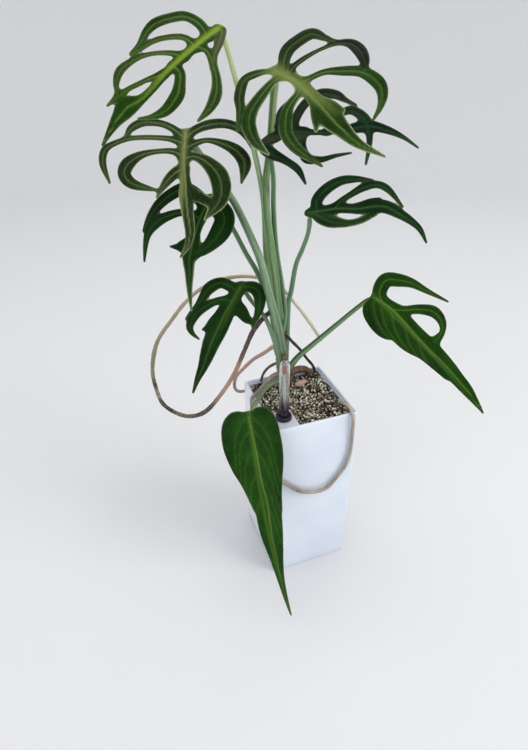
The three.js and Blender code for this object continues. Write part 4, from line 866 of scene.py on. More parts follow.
def mesh_piece(
    name: str,
    points: np.ndarray,
    faces: Faces,
    skins: tuple[Material, ...],
    smooth: float,
    attributes: Line | None = None,
) -> Piece:
    """Makes an object from points in millimetres.

    Args:
        name: The object's name.
        points: One point a row.
        faces: Corner numbers of each face.
        skins: Its materials.
        smooth: Edges sharper than this angle in degrees stay sharp.
        attributes: Values for each point, stored under their names.

    Returns:
        The new object, in the scene and at the origin.
    """
    mesh = bpy.data.meshes.new(name)
    mesh.from_pydata((points * MM).tolist(), [], faces)
    for key, values in (attributes or {}).items():
        store(mesh, key, values)
    shade_smooth(mesh, smooth)
    mesh.update()
    for skin in skins:
        mesh.materials.append(skin)
    return add_object(name, mesh)


def finish_piece(piece: Piece, slot: str, *nodes: str) -> None:
    """Ties a piece to the body and hides the solids that it stands for.

    Args:
        piece: The finished piece.
        slot: The record's material slot; not used.
        *nodes: The solids that it replaces.
    """
    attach(piece, BODY)
    if nodes:
        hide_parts(*nodes)
    LOG.info("%s: %d faces", piece.name, len(piece.data.polygons))


def circle(centre: Pair, radius: float, z: float, sides: int) -> np.ndarray:
    """Returns the points of a level circle."""
    turn = np.arange(sides) / sides * 2 * math.pi
    x, y = centre[0] + radius * np.cos(turn), centre[1] + radius * np.sin(turn)
    return np.stack([x, y, np.full(sides, z)], 1)


def loft(rings: list[np.ndarray], ends: Ends) -> tuple[np.ndarray, Faces]:
    """Joins rings of equally many points, given in order with their outside to the right.

    Args:
        rings: The rings, each turning anticlockwise seen from above.
        ends: What becomes of the first and the last.

    Returns:
        Points and faces.
    """
    count = len(rings[0])
    points = np.vstack(rings)
    turns = [(k, (k + 1) % count) for k in range(count)]
    faces: Faces = []
    for ring in range(len(rings) if ends is Ends.JOINED else len(rings) - 1):
        low, high = ring * count, (ring + 1) % len(rings) * count
        faces += [(low + k, low + after, high + after, high + k) for k, after in turns]
    if ends is Ends.CAPPED:
        first, last, top = len(points), len(points) + 1, len(points) - count
        points = np.vstack([points, rings[0].mean(0), rings[-1].mean(0)])
        for k, after in turns:
            faces += [(first, after, k), (last, top + k, top + after)]
    return points, faces


class Weaver(NodeTree):
    """A tree of geometry nodes with named inputs."""

    def __init__(self, name: str, inputs: dict[str, str]) -> None:
        """Starts a tree with one geometry input and output.

        Args:
            name: The tree's name.
            inputs: The type of each other input, by name.
        """
        super().__init__(bpy.data.node_groups.new(name, "GeometryNodeTree"))
        new = self.tree.interface.new_socket
        new("Geometry", in_out="INPUT", socket_type="NodeSocketGeometry")
        new("Geometry", in_out="OUTPUT", socket_type="NodeSocketGeometry")
        self.names = {
            key: new(key, in_out="INPUT", socket_type=f"NodeSocket{kind}").identifier
            for key, kind in inputs.items()
        }
        self.given = self.tree.nodes.new("NodeGroupInput").outputs

    def finish(self, geometry: Socket) -> None:
        """Ends the tree by making copies real and giving them their material."""
        real = self.node("GeometryNodeRealizeInstances", {"Geometry": geometry})
        inputs = {"Geometry": real.outputs[0], "Material": self.given["Skin"]}
        dressed = self.node("GeometryNodeSetMaterial", inputs)
        self.node("NodeGroupOutput", {0: dressed.outputs[0]})

    def run(self, name: str, source: Piece, values: dict[str, object]) -> Piece:
        """Runs the tree on an object and keeps the result as a plain mesh.

        Args:
            name: Name of the new piece.
            source: The object that carries the starting mesh; it is removed.
            values: Values of the named inputs.

        Returns:
            The new piece.
        """
        modifier = source.modifiers.new("weave", "NODES")
        modifier.node_group = self.tree
        for key, value in values.items():
            modifier[self.names[key]] = value
        graph = bpy.context.evaluated_depsgraph_get()
        mesh = bpy.data.meshes.new_from_object(source.evaluated_get(graph), depsgraph=graph)
        source.modifiers.clear()
        mesh.name = name
        bpy.data.objects.remove(source, do_unlink=True)
        return add_object(name, mesh)


class TubeWeaver(Weaver):
    """Turns lines of points with a radius each into round tubes with closed ends."""

    turn_length: float = 20.0
    sharp: float = 60.0

    def __init__(self) -> None:
        """Builds the tree: lines to curves, a ring swept along them, and a material."""
        super().__init__("tubes_along_lines", {"Sides": "Int", "Skin": "Material"})
        reach = self.node("GeometryNodeInputNamedAttribute", {"Name": "reach"}, data_type="FLOAT")
        curve = self.node("GeometryNodeMeshToCurve", {"Mesh": self.given["Geometry"]})
        inputs = {"Resolution": self.given["Sides"], "Radius": 1.0}
        ring = self.node("GeometryNodeCurvePrimitiveCircle", inputs)
        turn = self.node("GeometryNodeSplineParameter").outputs["Factor"]
        inputs = {"Geometry": ring.outputs[0], "Name": "turn", "Value": turn}
        settings = {"data_type": "FLOAT", "domain": "POINT"}
        marked = self.node("GeometryNodeStoreNamedAttribute", inputs, **settings)
        inputs = {"Curve": curve.outputs[0], "Profile Curve": marked.outputs[0]}
        inputs |= {"Scale": reach.outputs[0], "Fill Caps": True}
        self.finish(self.node("GeometryNodeCurveToMesh", inputs).outputs[0])

    def sweep(self, name: str, lines: list[Line], sides: int, skin: Material) -> Piece:
        """Makes one piece of tubes.

        Args:
            name: The piece's name.
            lines: For each tube its points and reach in millimetres, with any other attributes.
            sides: Sides of the tubes.
            skin: Their material.

        Returns:
            The piece.
        """
        every = {key: np.concatenate([line[key] for line in lines]) for key in lines[0]}
        edges: list[tuple[int, int]] = []
        start = 0
        for line in lines:
            after = start + len(line["points"])
            edges += [(k, k + 1) for k in range(start, after - 1)]
            start = after
        mesh = bpy.data.meshes.new(name)
        mesh.from_pydata((every.pop("points") * MM).tolist(), edges, [])
        for key, values in every.items():
            store(mesh, key, values * (MM if key == "reach" else 1.0))
        source = add_object(f"{name}_lines", mesh)
        piece = self.run(name, source, {"Sides": sides, "Skin": skin})
        if "along" in every:
            self.wrap(piece.data)
        shade_smooth(piece.data, self.sharp)
        return piece

    def wrap(self, mesh: bpy.types.Mesh) -> None:
        """Stores skin, a seamless place round and along the tube, from turn and along."""
        values = np.zeros((2, len(mesh.vertices)), np.float32)
        for row, key in zip(values, ("turn", "along")):
            mesh.attributes[key].data.foreach_get("value", row)
        angle, along = values[0] * 2 * math.pi, values[1]
        store(mesh, "skin", np.stack([np.cos(angle), np.sin(angle), along / self.turn_length], 1))


@dataclass(frozen=True)
class VeinStyle:
    """How one order of veins shows.

    reach is the radius at both ends. glow is the strength of the light strip beside the vein and
    spread its width at the tip of the blade, with what is added towards the base. fade is the
    share of leaf green where the vein starts. shy is how much farther off the groove and the
    swelling between veins take it to be.
    """

    reach: Pair
    glow: float
    spread: Pair
    fade: float
    shy: float


MIDRIB = VeinStyle((1.35, 0.32), 1.6, (0.3, 0.75), 0.0, 0.0)
SIDE_VEIN = VeinStyle((0.4, 0.14), 0.6, (0.6, 0.0), 0.3, 0.0)
THREAD = VeinStyle((0.26, 0.11), 0.3, (0.6, 0.0), 0.2, 0.55)


@dataclass
class Blade:
    """One blade: a thin fine-edged skin over the same outline and bend as its solid, with veins.

    Places on the blade's flat plane are rows of (u, v), along and across it. A rib or vein is a
    path of rows of (u, v, half-width), where a vein's half-width is 0. The rims and the lit strips
    near veins and the middle are pairs of a width and a strength.
    """

    form: LeafForm
    finish: BladeFinish
    venation: Venation
    rib_steps: int = 6
    cell: float = 1.35
    spare: float = 6.0
    snap: Pair = (0.9, 0.3)
    blend: float = 4.0
    half: float = 0.34
    edge_half: float = 0.08
    edge_width: float = 0.9
    groove: float = 0.5
    groove_width: float = 1.5
    pillow: float = 0.35
    pillow_width: float = 7.0
    valley_round: float = 4.0
    sag_width: float = 50.0
    ripple_length: float = 13.0
    ripple_shift: float = 1.9
    ripple_start: float = 30.0
    vein_sides: int = 8
    vein_spacing: float = 2.5
    vein_rise: float = 0.22
    pale_rim: Pair = (0.5, 0.9)
    plain_rim: Pair = (0.35, 0.3)
    near_vein: Pair = (4.5, 0.55)
    near_middle: Pair = (26.0, 0.45)
    sharp: float = 50.0
    ribs: list[np.ndarray] = field(init=False)
    veins: list[tuple[np.ndarray, VeinStyle]] = field(init=False)
    base: np.ndarray = field(init=False)
    axes: np.ndarray = field(init=False)
    length: float = field(init=False)

    def __post_init__(self) -> None:
        """Works out the blade's own axes, its ribs and its veins."""
        self.base = np.array(self.form.base, float)
        along = np.array(self.form.tip, float) - self.base
        self.length = float(np.linalg.norm(along))
        along /= self.length
        across = np.cross(along, np.array(self.form.face, float))
        across /= np.linalg.norm(across)
        self.axes = np.stack([along, across, np.cross(across, along)])
        self.ribs = [smooth_path(rib, self.rib_steps) for rib in self.form.ribs]
        shown = [k for k in range(len(self.ribs)) if k not in self.venation.blind]
        self.veins = [(self.ribs[k] * (1, 1, 0), MIDRIB if k == 0 else SIDE_VEIN) for k in shown]
        for side in self.venation.sides if self.venation.laterals else ():
            self.veins += [(path, THREAD) for path in self.side_veins(side)]

    def lift(self, flat: np.ndarray) -> np.ndarray:
        """Returns the height over the flat plane through base and tip at places on it."""
        f = self.form
        u, v = flat[:, 0], flat[:, 1]
        share = u / self.length
        side = np.where(v > 0, 0.0, self.ripple_shift)
        ripple = f.wave * np.sin(u / self.ripple_length + f.phase + side)
        ripple *= np.tanh(v * v / self.ripple_start**2)
        valley = f.fold * (np.sqrt(v * v + self.valley_round**2) - self.valley_round)
        bend = f.arch * 4 * share * (1 - share) + valley - f.sag * (v / self.sag_width) ** 2
        return bend + ripple

    def place(self, flat: np.ndarray, height: np.ndarray) -> np.ndarray:
        """Returns points in space for places on the flat plane and heights over it."""
        across = flat[:, :1] * self.axes[0] + flat[:, 1:2] * self.axes[1]
        return self.base + across + height[:, None] * self.axes[2]

    @staticmethod
    def distance(flat: np.ndarray, path: np.ndarray) -> np.ndarray:
        """Measures how far places lie from a path, below 0 inside its half-width.

        Args:
            flat: The places.
            path: A rib or vein.

        Returns:
            One distance for each place.
        """
        least = np.full(len(flat), FAR)
        for a, b in zip(path, path[1:]):
            step = b[:2] - a[:2]
            share = np.clip((flat - a[:2]) @ step / max(float(step @ step), 1e-9), 0, 1)
            away = np.linalg.norm(flat - a[:2] - share[:, None] * step, axis=1)
            least = np.minimum(least, away - a[2] - share * (b[2] - a[2]))
        return least

    def outline(self, flat: np.ndarray) -> np.ndarray:
        """Returns the distance to the blade's edge, below 0 inside it."""
        result = self.distance(flat, self.ribs[0])
        for rib in self.ribs[1:]:
            other = self.distance(flat, rib)
            near = np.maximum(self.blend - np.abs(result - other), 0) / self.blend
            result = np.minimum(result, other) - near * near * self.blend / 4
        return result

    def side_veins(self, side: int) -> list[np.ndarray]:
        """Draws the curved veins of an uncut half, from the midrib towards the edge.

        Args:
            side: 1 or -1, the half of the blade.

        Returns:
            One path for each vein.
        """
        longest, step, turned, least_turn, kept_off = 90, 1.5, 2.2, 6, 2.2
        drawn = []
        for k in range(self.venation.laterals):
            share = k / self.venation.laterals
            heading = math.radians(58 - 26 * share)
            path = [np.array([(0.01 + 0.5 * share**1.3) * self.length, 0.0, 0.0])]
            for number in range(longest):
                turn = max(heading - math.radians(turned) * number, math.radians(least_turn))
                move = np.array([math.cos(turn), side * math.sin(turn), 0.0]) * step
                after = path[-1] + move
                if number > 3 and self.outline(after[None, :2])[0] > -kept_off:
                    break
                path.append(after)
            drawn.append(np.array(path))
        return drawn

    def grid(self) -> tuple[np.ndarray, np.ndarray, np.ndarray]:
        """Lays even triangles over the blade and pulls the nearest corners onto its edge.

        Returns:
            The corners, their distances to the edge, and the triangles.
        """
        every = np.vstack(self.ribs)
        widest = every[:, 2].max()
        low = every[:, :2].min(0) - widest - self.spare
        high = every[:, :2].max(0) + widest + self.spare
        rise = self.cell * math.sqrt(0.75)
        wide = int((high[0] - low[0]) / self.cell) + 2
        tall = int((high[1] - low[1]) / rise) + 2
        column, row = np.meshgrid(np.arange(wide), np.arange(tall))
        u = low[0] + self.cell * (column + 0.5 * (row % 2))
        flat = np.stack([u, low[1] + rise * row], -1).reshape(-1, 2)
        edge = self.outline(flat)
        close = np.flatnonzero(np.abs(edge) < self.snap[0] * self.cell)
        tiny, flattest = 0.02, 0.3
        shifted = [self.outline(flat[close] + way) for way in ([tiny, 0], [0, tiny])]
        slope = (np.stack(shifted, 1) - edge[close, None]) / tiny
        move = -edge[close, None] * slope / np.maximum((slope**2).sum(1), flattest)[:, None]
        near = np.linalg.norm(move, axis=1) < self.snap[1] * self.cell
        flat[close[near]] += move[near]
        edge[close[near]] = 0.0
        corner = (np.arange(tall - 1)[:, None] * wide + np.arange(wide - 1)).ravel()
        odd = (corner // wide) % 2 == 1
        first = np.stack([corner, corner + 1, corner + wide + odd], 1)
        second = np.stack([corner + ~odd, corner + wide + 1, corner + wide], 1)
        return flat, edge, np.vstack([first, second])

    def trim(self) -> tuple[np.ndarray, Faces]:
        """Cuts the even triangles along the blade's edge.

        Returns:
            The corners and the triangles of the largest connected piece.
        """
        flat, edge, triangles = self.grid()
        signs = edge[triangles]
        inside = (signs < 0).any(1)
        whole = inside & (signs <= 0).all(1)
        kept = [tuple(t) for t in triangles[whole].tolist()]
        crossings: dict[tuple[int, int], int] = {}
        for corners in triangles[inside & ~whole].tolist():
            loop: list[int] = []
            for a, b in zip(corners, corners[1:] + corners[:1]):
                if edge[a] <= 0:
                    loop.append(a)
                if edge[a] * edge[b] < 0:
                    key = (min(a, b), max(a, b))
                    loop.append(crossings.setdefault(key, len(flat) + len(crossings)))
            kept += [(loop[0], loop[k], loop[k + 1]) for k in range(1, len(loop) - 1)]
        ends = np.array(list(crossings), int).reshape(-1, 2)
        flat = np.vstack([flat, self.meet(flat[ends[:, 0]], flat[ends[:, 1]], edge[ends])])
        return self.largest(flat, kept)

    def meet(self, first: np.ndarray, second: np.ndarray, edge: np.ndarray) -> np.ndarray:
        """Finds where lines from first to second cross the blade's edge.

        Args:
            first: Starts of the lines.
            second: Ends of the lines.
            edge: Distances to the edge at both ends, one line a row.

        Returns:
            The crossing points.
        """
        rounds, least, most = 7, 0.05, 0.95
        low, high = np.zeros(len(first)), np.ones(len(first))
        below, above = edge.T
        share = low
        for _ in range(rounds):
            share = low + (high - low) * np.clip(below / (below - above), least, most)
            value = self.outline(first + share[:, None] * (second - first))
            same = value * below > 0
            low, below = np.where(same, share, low), np.where(same, value, below)
            high, above = np.where(same, high, share), np.where(same, above, value)
        return first + share[:, None] * (second - first)

    @staticmethod
    def largest(flat: np.ndarray, triangles: Faces) -> tuple[np.ndarray, Faces]:
        """Keeps the largest connected piece and renumbers its corners."""
        group = np.arange(len(flat))
        faces = np.array(triangles, int)
        while True:
            least = group[faces].min(1)
            before = group.copy()
            for k in range(3):
                np.minimum.at(group, faces[:, k], least)
            group = group[group]
            if (group == before).all():
                break
        names, counts = np.unique(group[faces[:, 0]], return_counts=True)
        faces = faces[group[faces[:, 0]] == names[counts.argmax()]]
        used, numbers = np.unique(faces, return_inverse=True)
        return flat[used], [tuple(t) for t in numbers.reshape(-1, 3).tolist()]

    def veining(self, flat: np.ndarray) -> tuple[np.ndarray, np.ndarray]:
        """Measures the veins' pull on each corner.

        Args:
            flat: The corners.

        Returns:
            Their distances to the nearest vein, and how much its light strip shows.
        """
        nearest = np.full(len(flat), FAR)
        glow = np.zeros(len(flat))
        toward_base = 1 - np.clip(flat[:, 0] / self.length, 0, 1)
        for path, style in self.veins:
            away = self.distance(flat, path)
            width = style.spread[0] + style.spread[1] * toward_base
            glow = np.maximum(glow, style.glow * np.exp(-((away / width) ** 2)))
            nearest = np.minimum(nearest, away + style.shy)
        return nearest, glow

    def shading(self, flat: np.ndarray, edge: np.ndarray, vein: np.ndarray) -> Line:
        """Works out what the blade's materials read at each corner.

        Args:
            flat: The corners.
            edge: Their distances to the blade's edge.
            vein: Their distances to the nearest vein.

        Returns:
            Values for each corner: rim, near, heart and tone.
        """
        c = self.finish.colours
        share, side = flat[:, 0] / self.length, flat[:, 1]
        held = np.clip(share, 0, 1)
        fall = np.clip((c.heart_reach - share) / (0.45 * c.heart_reach), 0, 1)
        start = np.clip((share + 0.12) / 0.08, 0, 1)
        heart = fall * start * np.exp(-((side / (c.heart_width * (1.25 - 0.75 * held))) ** 2))
        nearest = np.stack([self.distance(flat, rib) for rib in self.ribs]).argmin(0)
        tone = np.zeros(len(flat))
        for rib, shade in self.venation.tones:
            ramp = 1.0 if rib == 0 else np.clip((np.abs(side) - 2.5) / 5, 0, 1)
            tone = np.where(nearest == rib, shade * ramp, tone)
        pale = np.isin(nearest, self.venation.pale)[:, None]
        width, strength = np.where(pale, self.pale_rim, self.plain_rim).T
        beside = self.near_vein[1] * np.exp(-((vein / self.near_vein[0]) ** 2))
        middle = np.exp(-((side / self.near_middle[0]) ** 2)) * (1 - 0.9 * held**1.5)
        return {
            "rim": np.exp(np.minimum(edge, 0) / width) * strength,
            "near": beside + self.near_middle[1] * middle,
            "heart": heart,
            "tone": tone,
        }

    def build(self, weaver: TubeWeaver) -> None:
        """Makes the blade and its veins and ties them to the body.

        Args:
            weaver: The tree that makes the veins.
        """
        flat, triangles = self.trim()
        edge = self.outline(flat)
        vein, glow = self.veining(flat)
        height = self.lift(flat) - self.groove * np.exp(-((vein / self.groove_width) ** 2))
        height += self.pillow * np.sin(np.clip(vein / self.pillow_width, 0, 1) * math.pi)
        thinner = np.exp(np.minimum(edge, 0) / self.edge_width)
        half = taper((self.half, self.edge_half), thinner)
        points = np.vstack([self.place(flat, height + half), self.place(flat, height - half)])
        count = len(flat)
        upper = [(a, c, b) for a, b, c in triangles]
        lower = [(a + count, b + count, c + count) for a, b, c in triangles]
        sides = {(t[k], t[(k + 1) % 3]) for t in triangles for k in range(3)}
        rim = sorted((a, b) for a, b in sides if (b, a) not in sides)
        walls = [(a, b, b + count, a + count) for a, b in rim]
        shading = self.shading(flat, edge, vein) | {"glow": glow}
        values = {key: np.concatenate([row, row]) for key, row in shading.items()}
        skins = (self.finish.upper(), self.finish.underside(), self.finish.margin())
        slot = f"blade_{self.form.name}"
        piece = mesh_piece(slot, points, upper + lower + walls, skins, self.sharp, values)
        parts = ((Skin.TOP, upper), (Skin.UNDER, lower), (Skin.MARGIN, walls))
        shown = [skin.value for skin, faces in parts for _ in faces]
        piece.data.polygons.foreach_set("material_index", shown)
        finish_piece(piece, slot, f"leaf_{self.form.name}")
        finish_piece(self.raised_veins(weaver), slot)

    def raised_veins(self, weaver: TubeWeaver) -> Piece:
        """Lays the midrib and the side veins along the blade as one piece of thin tubes."""
        lines = []
        for path, style in self.veins:
            flat, at = even_path(path[:, :2], self.vein_spacing)
            share = at / at[-1]
            reach = taper(style.reach, share) * np.where(share > 0.999, 0.3, 1.0)
            height = self.lift(flat) - self.groove + self.half + self.vein_rise - reach
            fade = taper((style.fade, 1.0), share)
            lines.append({"points": self.place(flat, height), "reach": reach, "fade": fade})
        name = f"veins_{self.form.name}"
        return weaver.sweep(name, lines, self.vein_sides, self.finish.vein())


@dataclass
class Stalk:
    """A leaf stalk, a little swollen where it leaves the stem and just under the blade."""

    form: StalkForm
    finish: StalkFinish
    sides: int = 20
    spacing: float = 2.5
    sheath: float = 0.7
    sheath_length: float = 16.0
    knee: float = 0.35
    knee_from_end: float = 11.0
    knee_length: float = 7.0
    end: Point = (0.9, 0.75, 0.5)

    def build(self, weaver: TubeWeaver) -> None:
        """Makes the stalk and ties it to the body."""
        line = self.form.line(self.spacing, self.form.hidden)
        at, reach = line["along"], line["reach"]
        reach += self.sheath * np.exp(-at / self.sheath_length)
        from_knee = at[-1] - self.knee_from_end - at
        reach += self.knee * np.exp(-((from_knee / self.knee_length) ** 2))
        reach[-3:] *= self.end
        name = f"stalk_{self.form.name}"
        piece = weaver.sweep(name, [line], self.sides, self.finish.build(name))
        finish_piece(piece, name, f"petiole_{self.form.name}")


@dataclass
class AerialRoot:
    """A dry root: uneven, with knots, and rounded off at its free end."""

    form: RootForm
    finish: RootFinish
    sides: int = 16
    spacing: float = 1.1
    rough: float = 0.07
    knot_count: int = 9

    def build(self, weaver: TubeWeaver) -> None:
        """Makes the root and ties it to the body."""
        line = self.form.line(self.spacing)
        at, share, reach = line["along"], line["share"], line["reach"]
        knots = np.maximum(np.sin(share * math.pi * self.knot_count), 0) ** 6
        uneven = np.sin(at * 0.9) * np.sin(at * 0.37 + 1) + 0.5 * np.sin(at * 2.3 + 2)
        reach += self.form.knots * knots
        reach *= 1 + self.rough * uneven
        round_off(reach, 0.35, 0.85)
        name = self.form.name
        piece = weaver.sweep(f"{name}_skin", [line], self.sides, self.finish.build(name))
        finish_piece(piece, f"{name}_bark", name)


@dataclass
class Crown:
    """The short upright stem, the stub of old stem beside it and the dry remains of leaf sheaths.

    Each fibre leaves the stem within turned degrees. course gives four points of it: how far out,
    how much of aside to the side, how far up, and how much of drop down.
    """

    stem: LimbForm = LimbForm("stem", (7.0, 4.0), (
        (0, 30, 180), (-1, 32, 200), (-4, 35, 222), (-6, 38, 250), (-10, 41, 276), (-13, 42, 294),
    ))
    stub: LimbForm = LimbForm("rhizome", (4.4, 3.8), (
        (3, 34, 206), (14, 36, 207), (25, 38, 203), (32, 36, 194),
    ))
    green: RootFinish = RootFinish(
        ((0.0, 0x4A3426), (0.3, 0x6A4F38), (0.5, 0x5F6B45), (1.0, 0x6F8A62))
    )
    brown: RootFinish = RootFinish(((0.0, 0x6E4632), (0.6, 0x5A3627), (1.0, 0x4A2B20)))
    dry: RootFinish = RootFinish(((0.0, 0x4A3529), (0.5, 0x6B4F3D), (1.0, 0x3A2A22)), 0xB89A80)
    sides: int = 28
    joint_spacing: float = 7.0
    fibres: int = 22
    fibre_radii: Pair = (0.75, 0.22)
    fibre_heights: Pair = (208.0, 264.0)
    turned: Pair = (110.0, 260.0)
    aside: Pair = (-3.5, 3.5)
    drop: Pair = (3.0, 9.0)
    course: tuple[tuple[float, ...], ...] = (
        (3.5, 0.0, 0.0, 0.0), (6.6, 0.4, 0.8, 0.0), (7.6, 1.0, 0.0, 0.5), (7.0, 1.5, 0.0, 1.0),
    )
    seed: int = 7

    def limb(self, weaver: TubeWeaver, form: LimbForm, finish: RootFinish) -> Piece:
        """Makes a ringed limb with swollen joints.

        Args:
            weaver: The tree that makes tubes.
            form: Its centre line.
            finish: Its skin.

        Returns:
            The piece.
        """
        line = form.line(1.0)
        at, reach = line["along"], line["reach"]
        joint = np.maximum(np.cos(at / self.joint_spacing * 2 * math.pi), 0) ** 8
        reach *= 0.95 + 0.09 * joint + 0.03 * np.sin(at * 1.7)
        round_off(reach, 0.55, 0.85)
        return weaver.sweep(f"{form.name}_skin", [line], self.sides, finish.build(form.name))

    def dead_roots(self, weaver: TubeWeaver) -> Piece:
        """Makes the dry rootlets and sheath fibres that cling to the back and left of the stem."""
        random = np.random.default_rng(self.seed)
        spine = smooth_path(self.stem.points, LIMB_STEPS)
        lines = []
        for k in range(self.fibres):
            height = taper(self.fibre_heights, k / self.fibres)
            centre = spine[np.abs(spine[:, 2] - height).argmin()]
            turn = math.radians(random.uniform(*self.turned))
            out = np.array([math.cos(turn), math.sin(turn), 0.0])
            aside = np.array([-out[1], out[0], 0.0]) * random.uniform(*self.aside)
            drop = random.uniform(*self.drop)
            path = [
                centre + out * away + aside * share + [0, 0, up - drop * down]
                for away, share, up, down in self.course
            ]
            line = tube_line(*even_path(smooth_path(path, 8), 0.8), self.fibre_radii)
            line["reach"] *= 1 + 0.2 * np.sin(line["along"] * 2.1 + k)
            lines.append(line)
        return weaver.sweep("stem_fibres", lines, 8, self.dry.build("fibres"))

    def build(self, weaver: TubeWeaver) -> None:
        """Makes both limbs and the fibres and ties them to the body."""
        finish_piece(self.limb(weaver, self.stem, self.green), "stem_green", "stem")
        finish_piece(self.limb(weaver, self.stub, self.brown), "rhizome_bark", "rhizome_stub")
        finish_piece(self.dead_roots(weaver), "stem_green")


@dataclass
class Planter:
    """The square outer pot, the inner pot with its corner platform, and the water gauge.

    platform is the corner of the platform that points into the pot, and gauge is the middle of the
    gauge. collar and flag are each a radius and a height.
    """

    height: float = 200.0
    top_half: float = 45.0
    base_half: float = 42.6
    belly: float = 0.7
    wall: float = 2.4
    floor: float = 3.0
    corner: float = 3.0
    corner_steps: int = 10
    rim_round: float = 0.8
    rim_steps: int = 4
    gap: float = 0.3
    liner_wall: float = 1.6
    liner_top: float = 197.0
    liner_floor: float = 42.0
    platform: Pair = (-15.5, -13.0)
    platform_corner: float = 1.6
    gauge: Pair = (-26.5, -24.5)
    gauge_sides: int = 56
    collar: Pair = (8.0, 4.0)
    tube_radius: float = 5.0
    tube_wall: float = 1.0
    tube_top: float = 262.0
    tube_round: float = 1.5
    rod_radius: float = 1.4
    rod_top: float = 249.0
    flag: Pair = (2.4, 8.0)
    axis: float = 0.05
    sharp: float = 32.0
    gauge_sharp: float = 35.0
    white: PlasticFinish = PlasticFinish(0xEAF3FF, 0xDFE9F8, Coat.GLOSS)
    # The inner pot and its platform are white like the planter; their greyer lilac is painted
    # shade.
    shaded_white: PlasticFinish = PlasticFinish(0xDCDBE6, 0xCFCFDD, Coat.SATIN)
    black: PlasticFinish = PlasticFinish(0x1A1528, 0x3C3056, Coat.SATIN)
    clear: PlasticFinish = PlasticFinish(0xFCFEFD, 0xF4F7F6, Coat.CLEAR)
    milky: PlasticFinish = PlasticFinish(0xC9CBC8, 0xB9B9BE, Coat.SATIN)
    red: PlasticFinish = PlasticFinish(0xB4303A, 0x96232C, Coat.SATIN)

    def half(self, z: float) -> float:
        """Returns half the outer pot's width at a height."""
        share = z / self.height
        return taper((self.base_half, self.top_half), share) + self.belly * 4 * share * (1 - share)

    def square(self, low: Pair, high: Pair, radius: float, z: float) -> np.ndarray:
        """Returns a rectangular ring with round corners.

        Args:
            low: Lowest x and y.
            high: Highest x and y.
            radius: Radius of the corners.
            z: Height of the ring.

        Returns:
            Its points, anticlockwise from the right.
        """
        (x0, y0), (x1, y1) = [k + radius for k in low], [k - radius for k in high]
        rows = []
        for quarter, (x, y) in enumerate(((x1, y1), (x0, y1), (x0, y0), (x1, y0))):
            for k in range(self.corner_steps + 1):
                turn = math.radians(90 * quarter + 90 * k / self.corner_steps)
                rows.append((x + radius * math.cos(turn), y + radius * math.sin(turn), z))
        return np.array(rows)

    def rings(self, rows: list[Point]) -> list[np.ndarray]:
        """Returns rings that follow the pot's outside.

        Args:
            rows: For each its distance inside the pot, the radius of its corners and its height.
        """
        halves = [self.half(z) - inset for inset, _, z in rows]
        return [
            self.square((-half, -half), (half, half), radius, z)
            for half, (_, radius, z) in zip(halves, rows)
        ]

    def pot(self) -> None:
        """Makes the outer pot: outside, round rim, inside and floor."""
        inner = self.corner - self.wall * 0.6
        arc = [math.radians(90 * k / self.rim_steps) for k in range(self.rim_steps + 1)]
        inward = [self.rim_round * (1 - math.cos(a)) for a in arc]
        lip = [self.height - self.rim_round * (1 - math.sin(a)) for a in arc]
        rows = [(1.6, self.corner - 1.2, 0.0), (0.5, self.corner - 0.4, 0.35)]
        rows += [(0.0, self.corner, z) for z in np.linspace(1.4, self.height - self.rim_round, 26)]
        rows += [(inset, self.corner, z) for inset, z in zip(inward[1:], lip[1:])]
        rows += [(self.wall - inset, inner, z) for inset, z in zip(inward[::-1], lip[::-1])]
        rows += [(self.wall, inner, z) for z in np.linspace(self.height - 8, self.floor + 1.5, 8)]
        rows.append((self.wall + 1.2, 0.6, self.floor))
        points, faces = loft(self.rings(rows), Ends.CAPPED)
        skins = (self.white.build("planter"),)
        piece = mesh_piece("planter_shell", points, faces, skins, self.sharp)
        finish_piece(piece, "gloss_white", "planter")

    def inner_pot(self) -> None:
        """Makes the inner pot's wall and floor, and the platform that the gauge comes out of."""
        out, inside = self.wall + self.gap, self.wall + self.gap + self.liner_wall
        top, foot, corner = self.liner_top, self.liner_floor, self.corner - 1
        rows = [(out + 0.8, corner, foot - 2.2), (out, corner, foot - 1)]
        rows += [(out, corner, z) for z in np.linspace(60, top - 0.5, 8)]
        rows += [(out + 0.5, corner - 0.3, top), (inside - 0.4, corner - 0.8, top)]
        rows += [(inside, corner - 1, z) for z in np.linspace(top - 0.5, foot + 0.4, 8)]
        rows.append((inside + 0.6, corner - 1.2, foot))
        points, faces = loft(self.rings(rows), Ends.CAPPED)
        more, extra = self.platform_body(inside)
        faces += [tuple(k + len(points) for k in face) for face in extra]
        skins = (self.shaded_white.build("inner_pot"),)
        piece = mesh_piece("inner_pot", np.vstack([points, more]), faces, skins, self.sharp)
        finish_piece(piece, "satin_white", "liner")

    def platform_body(self, inside: float) -> tuple[np.ndarray, Faces]:
        """Makes the corner platform, with the gauge's hole through it.

        Args:
            inside: Distance from the pot's outside to the inside of the inner pot.

        Returns:
            Points and faces.
        """
        top, foot, overlap = self.liner_top, self.liner_floor + 0.3, 0.2
        edge = ((foot, 0.0), (70.0, 0.0), (130.0, 0.0), (185.0, 0.0))
        edge += ((top - 0.9, 0.0), (top - 0.4, 0.15), (top, 0.7))
        rings = []
        for z, inset in edge:
            low = inside - overlap - min(self.half(z), self.half(top))
            high = (self.platform[0] - inset, self.platform[1] - inset)
            rings.append(self.square((low, low), high, self.platform_corner, z))
        hole = self.tube_radius + self.gap
        away = rings[-1][:, :2] - self.gauge
        away /= np.linalg.norm(away, axis=1)[:, None]
        for radius, z in ((hole + 0.25, top), (hole, top - 0.3), (hole, foot)):
            rings.append(np.column_stack([self.gauge + radius * away, np.full(len(away), z)]))
        return loft(rings, Ends.JOINED)

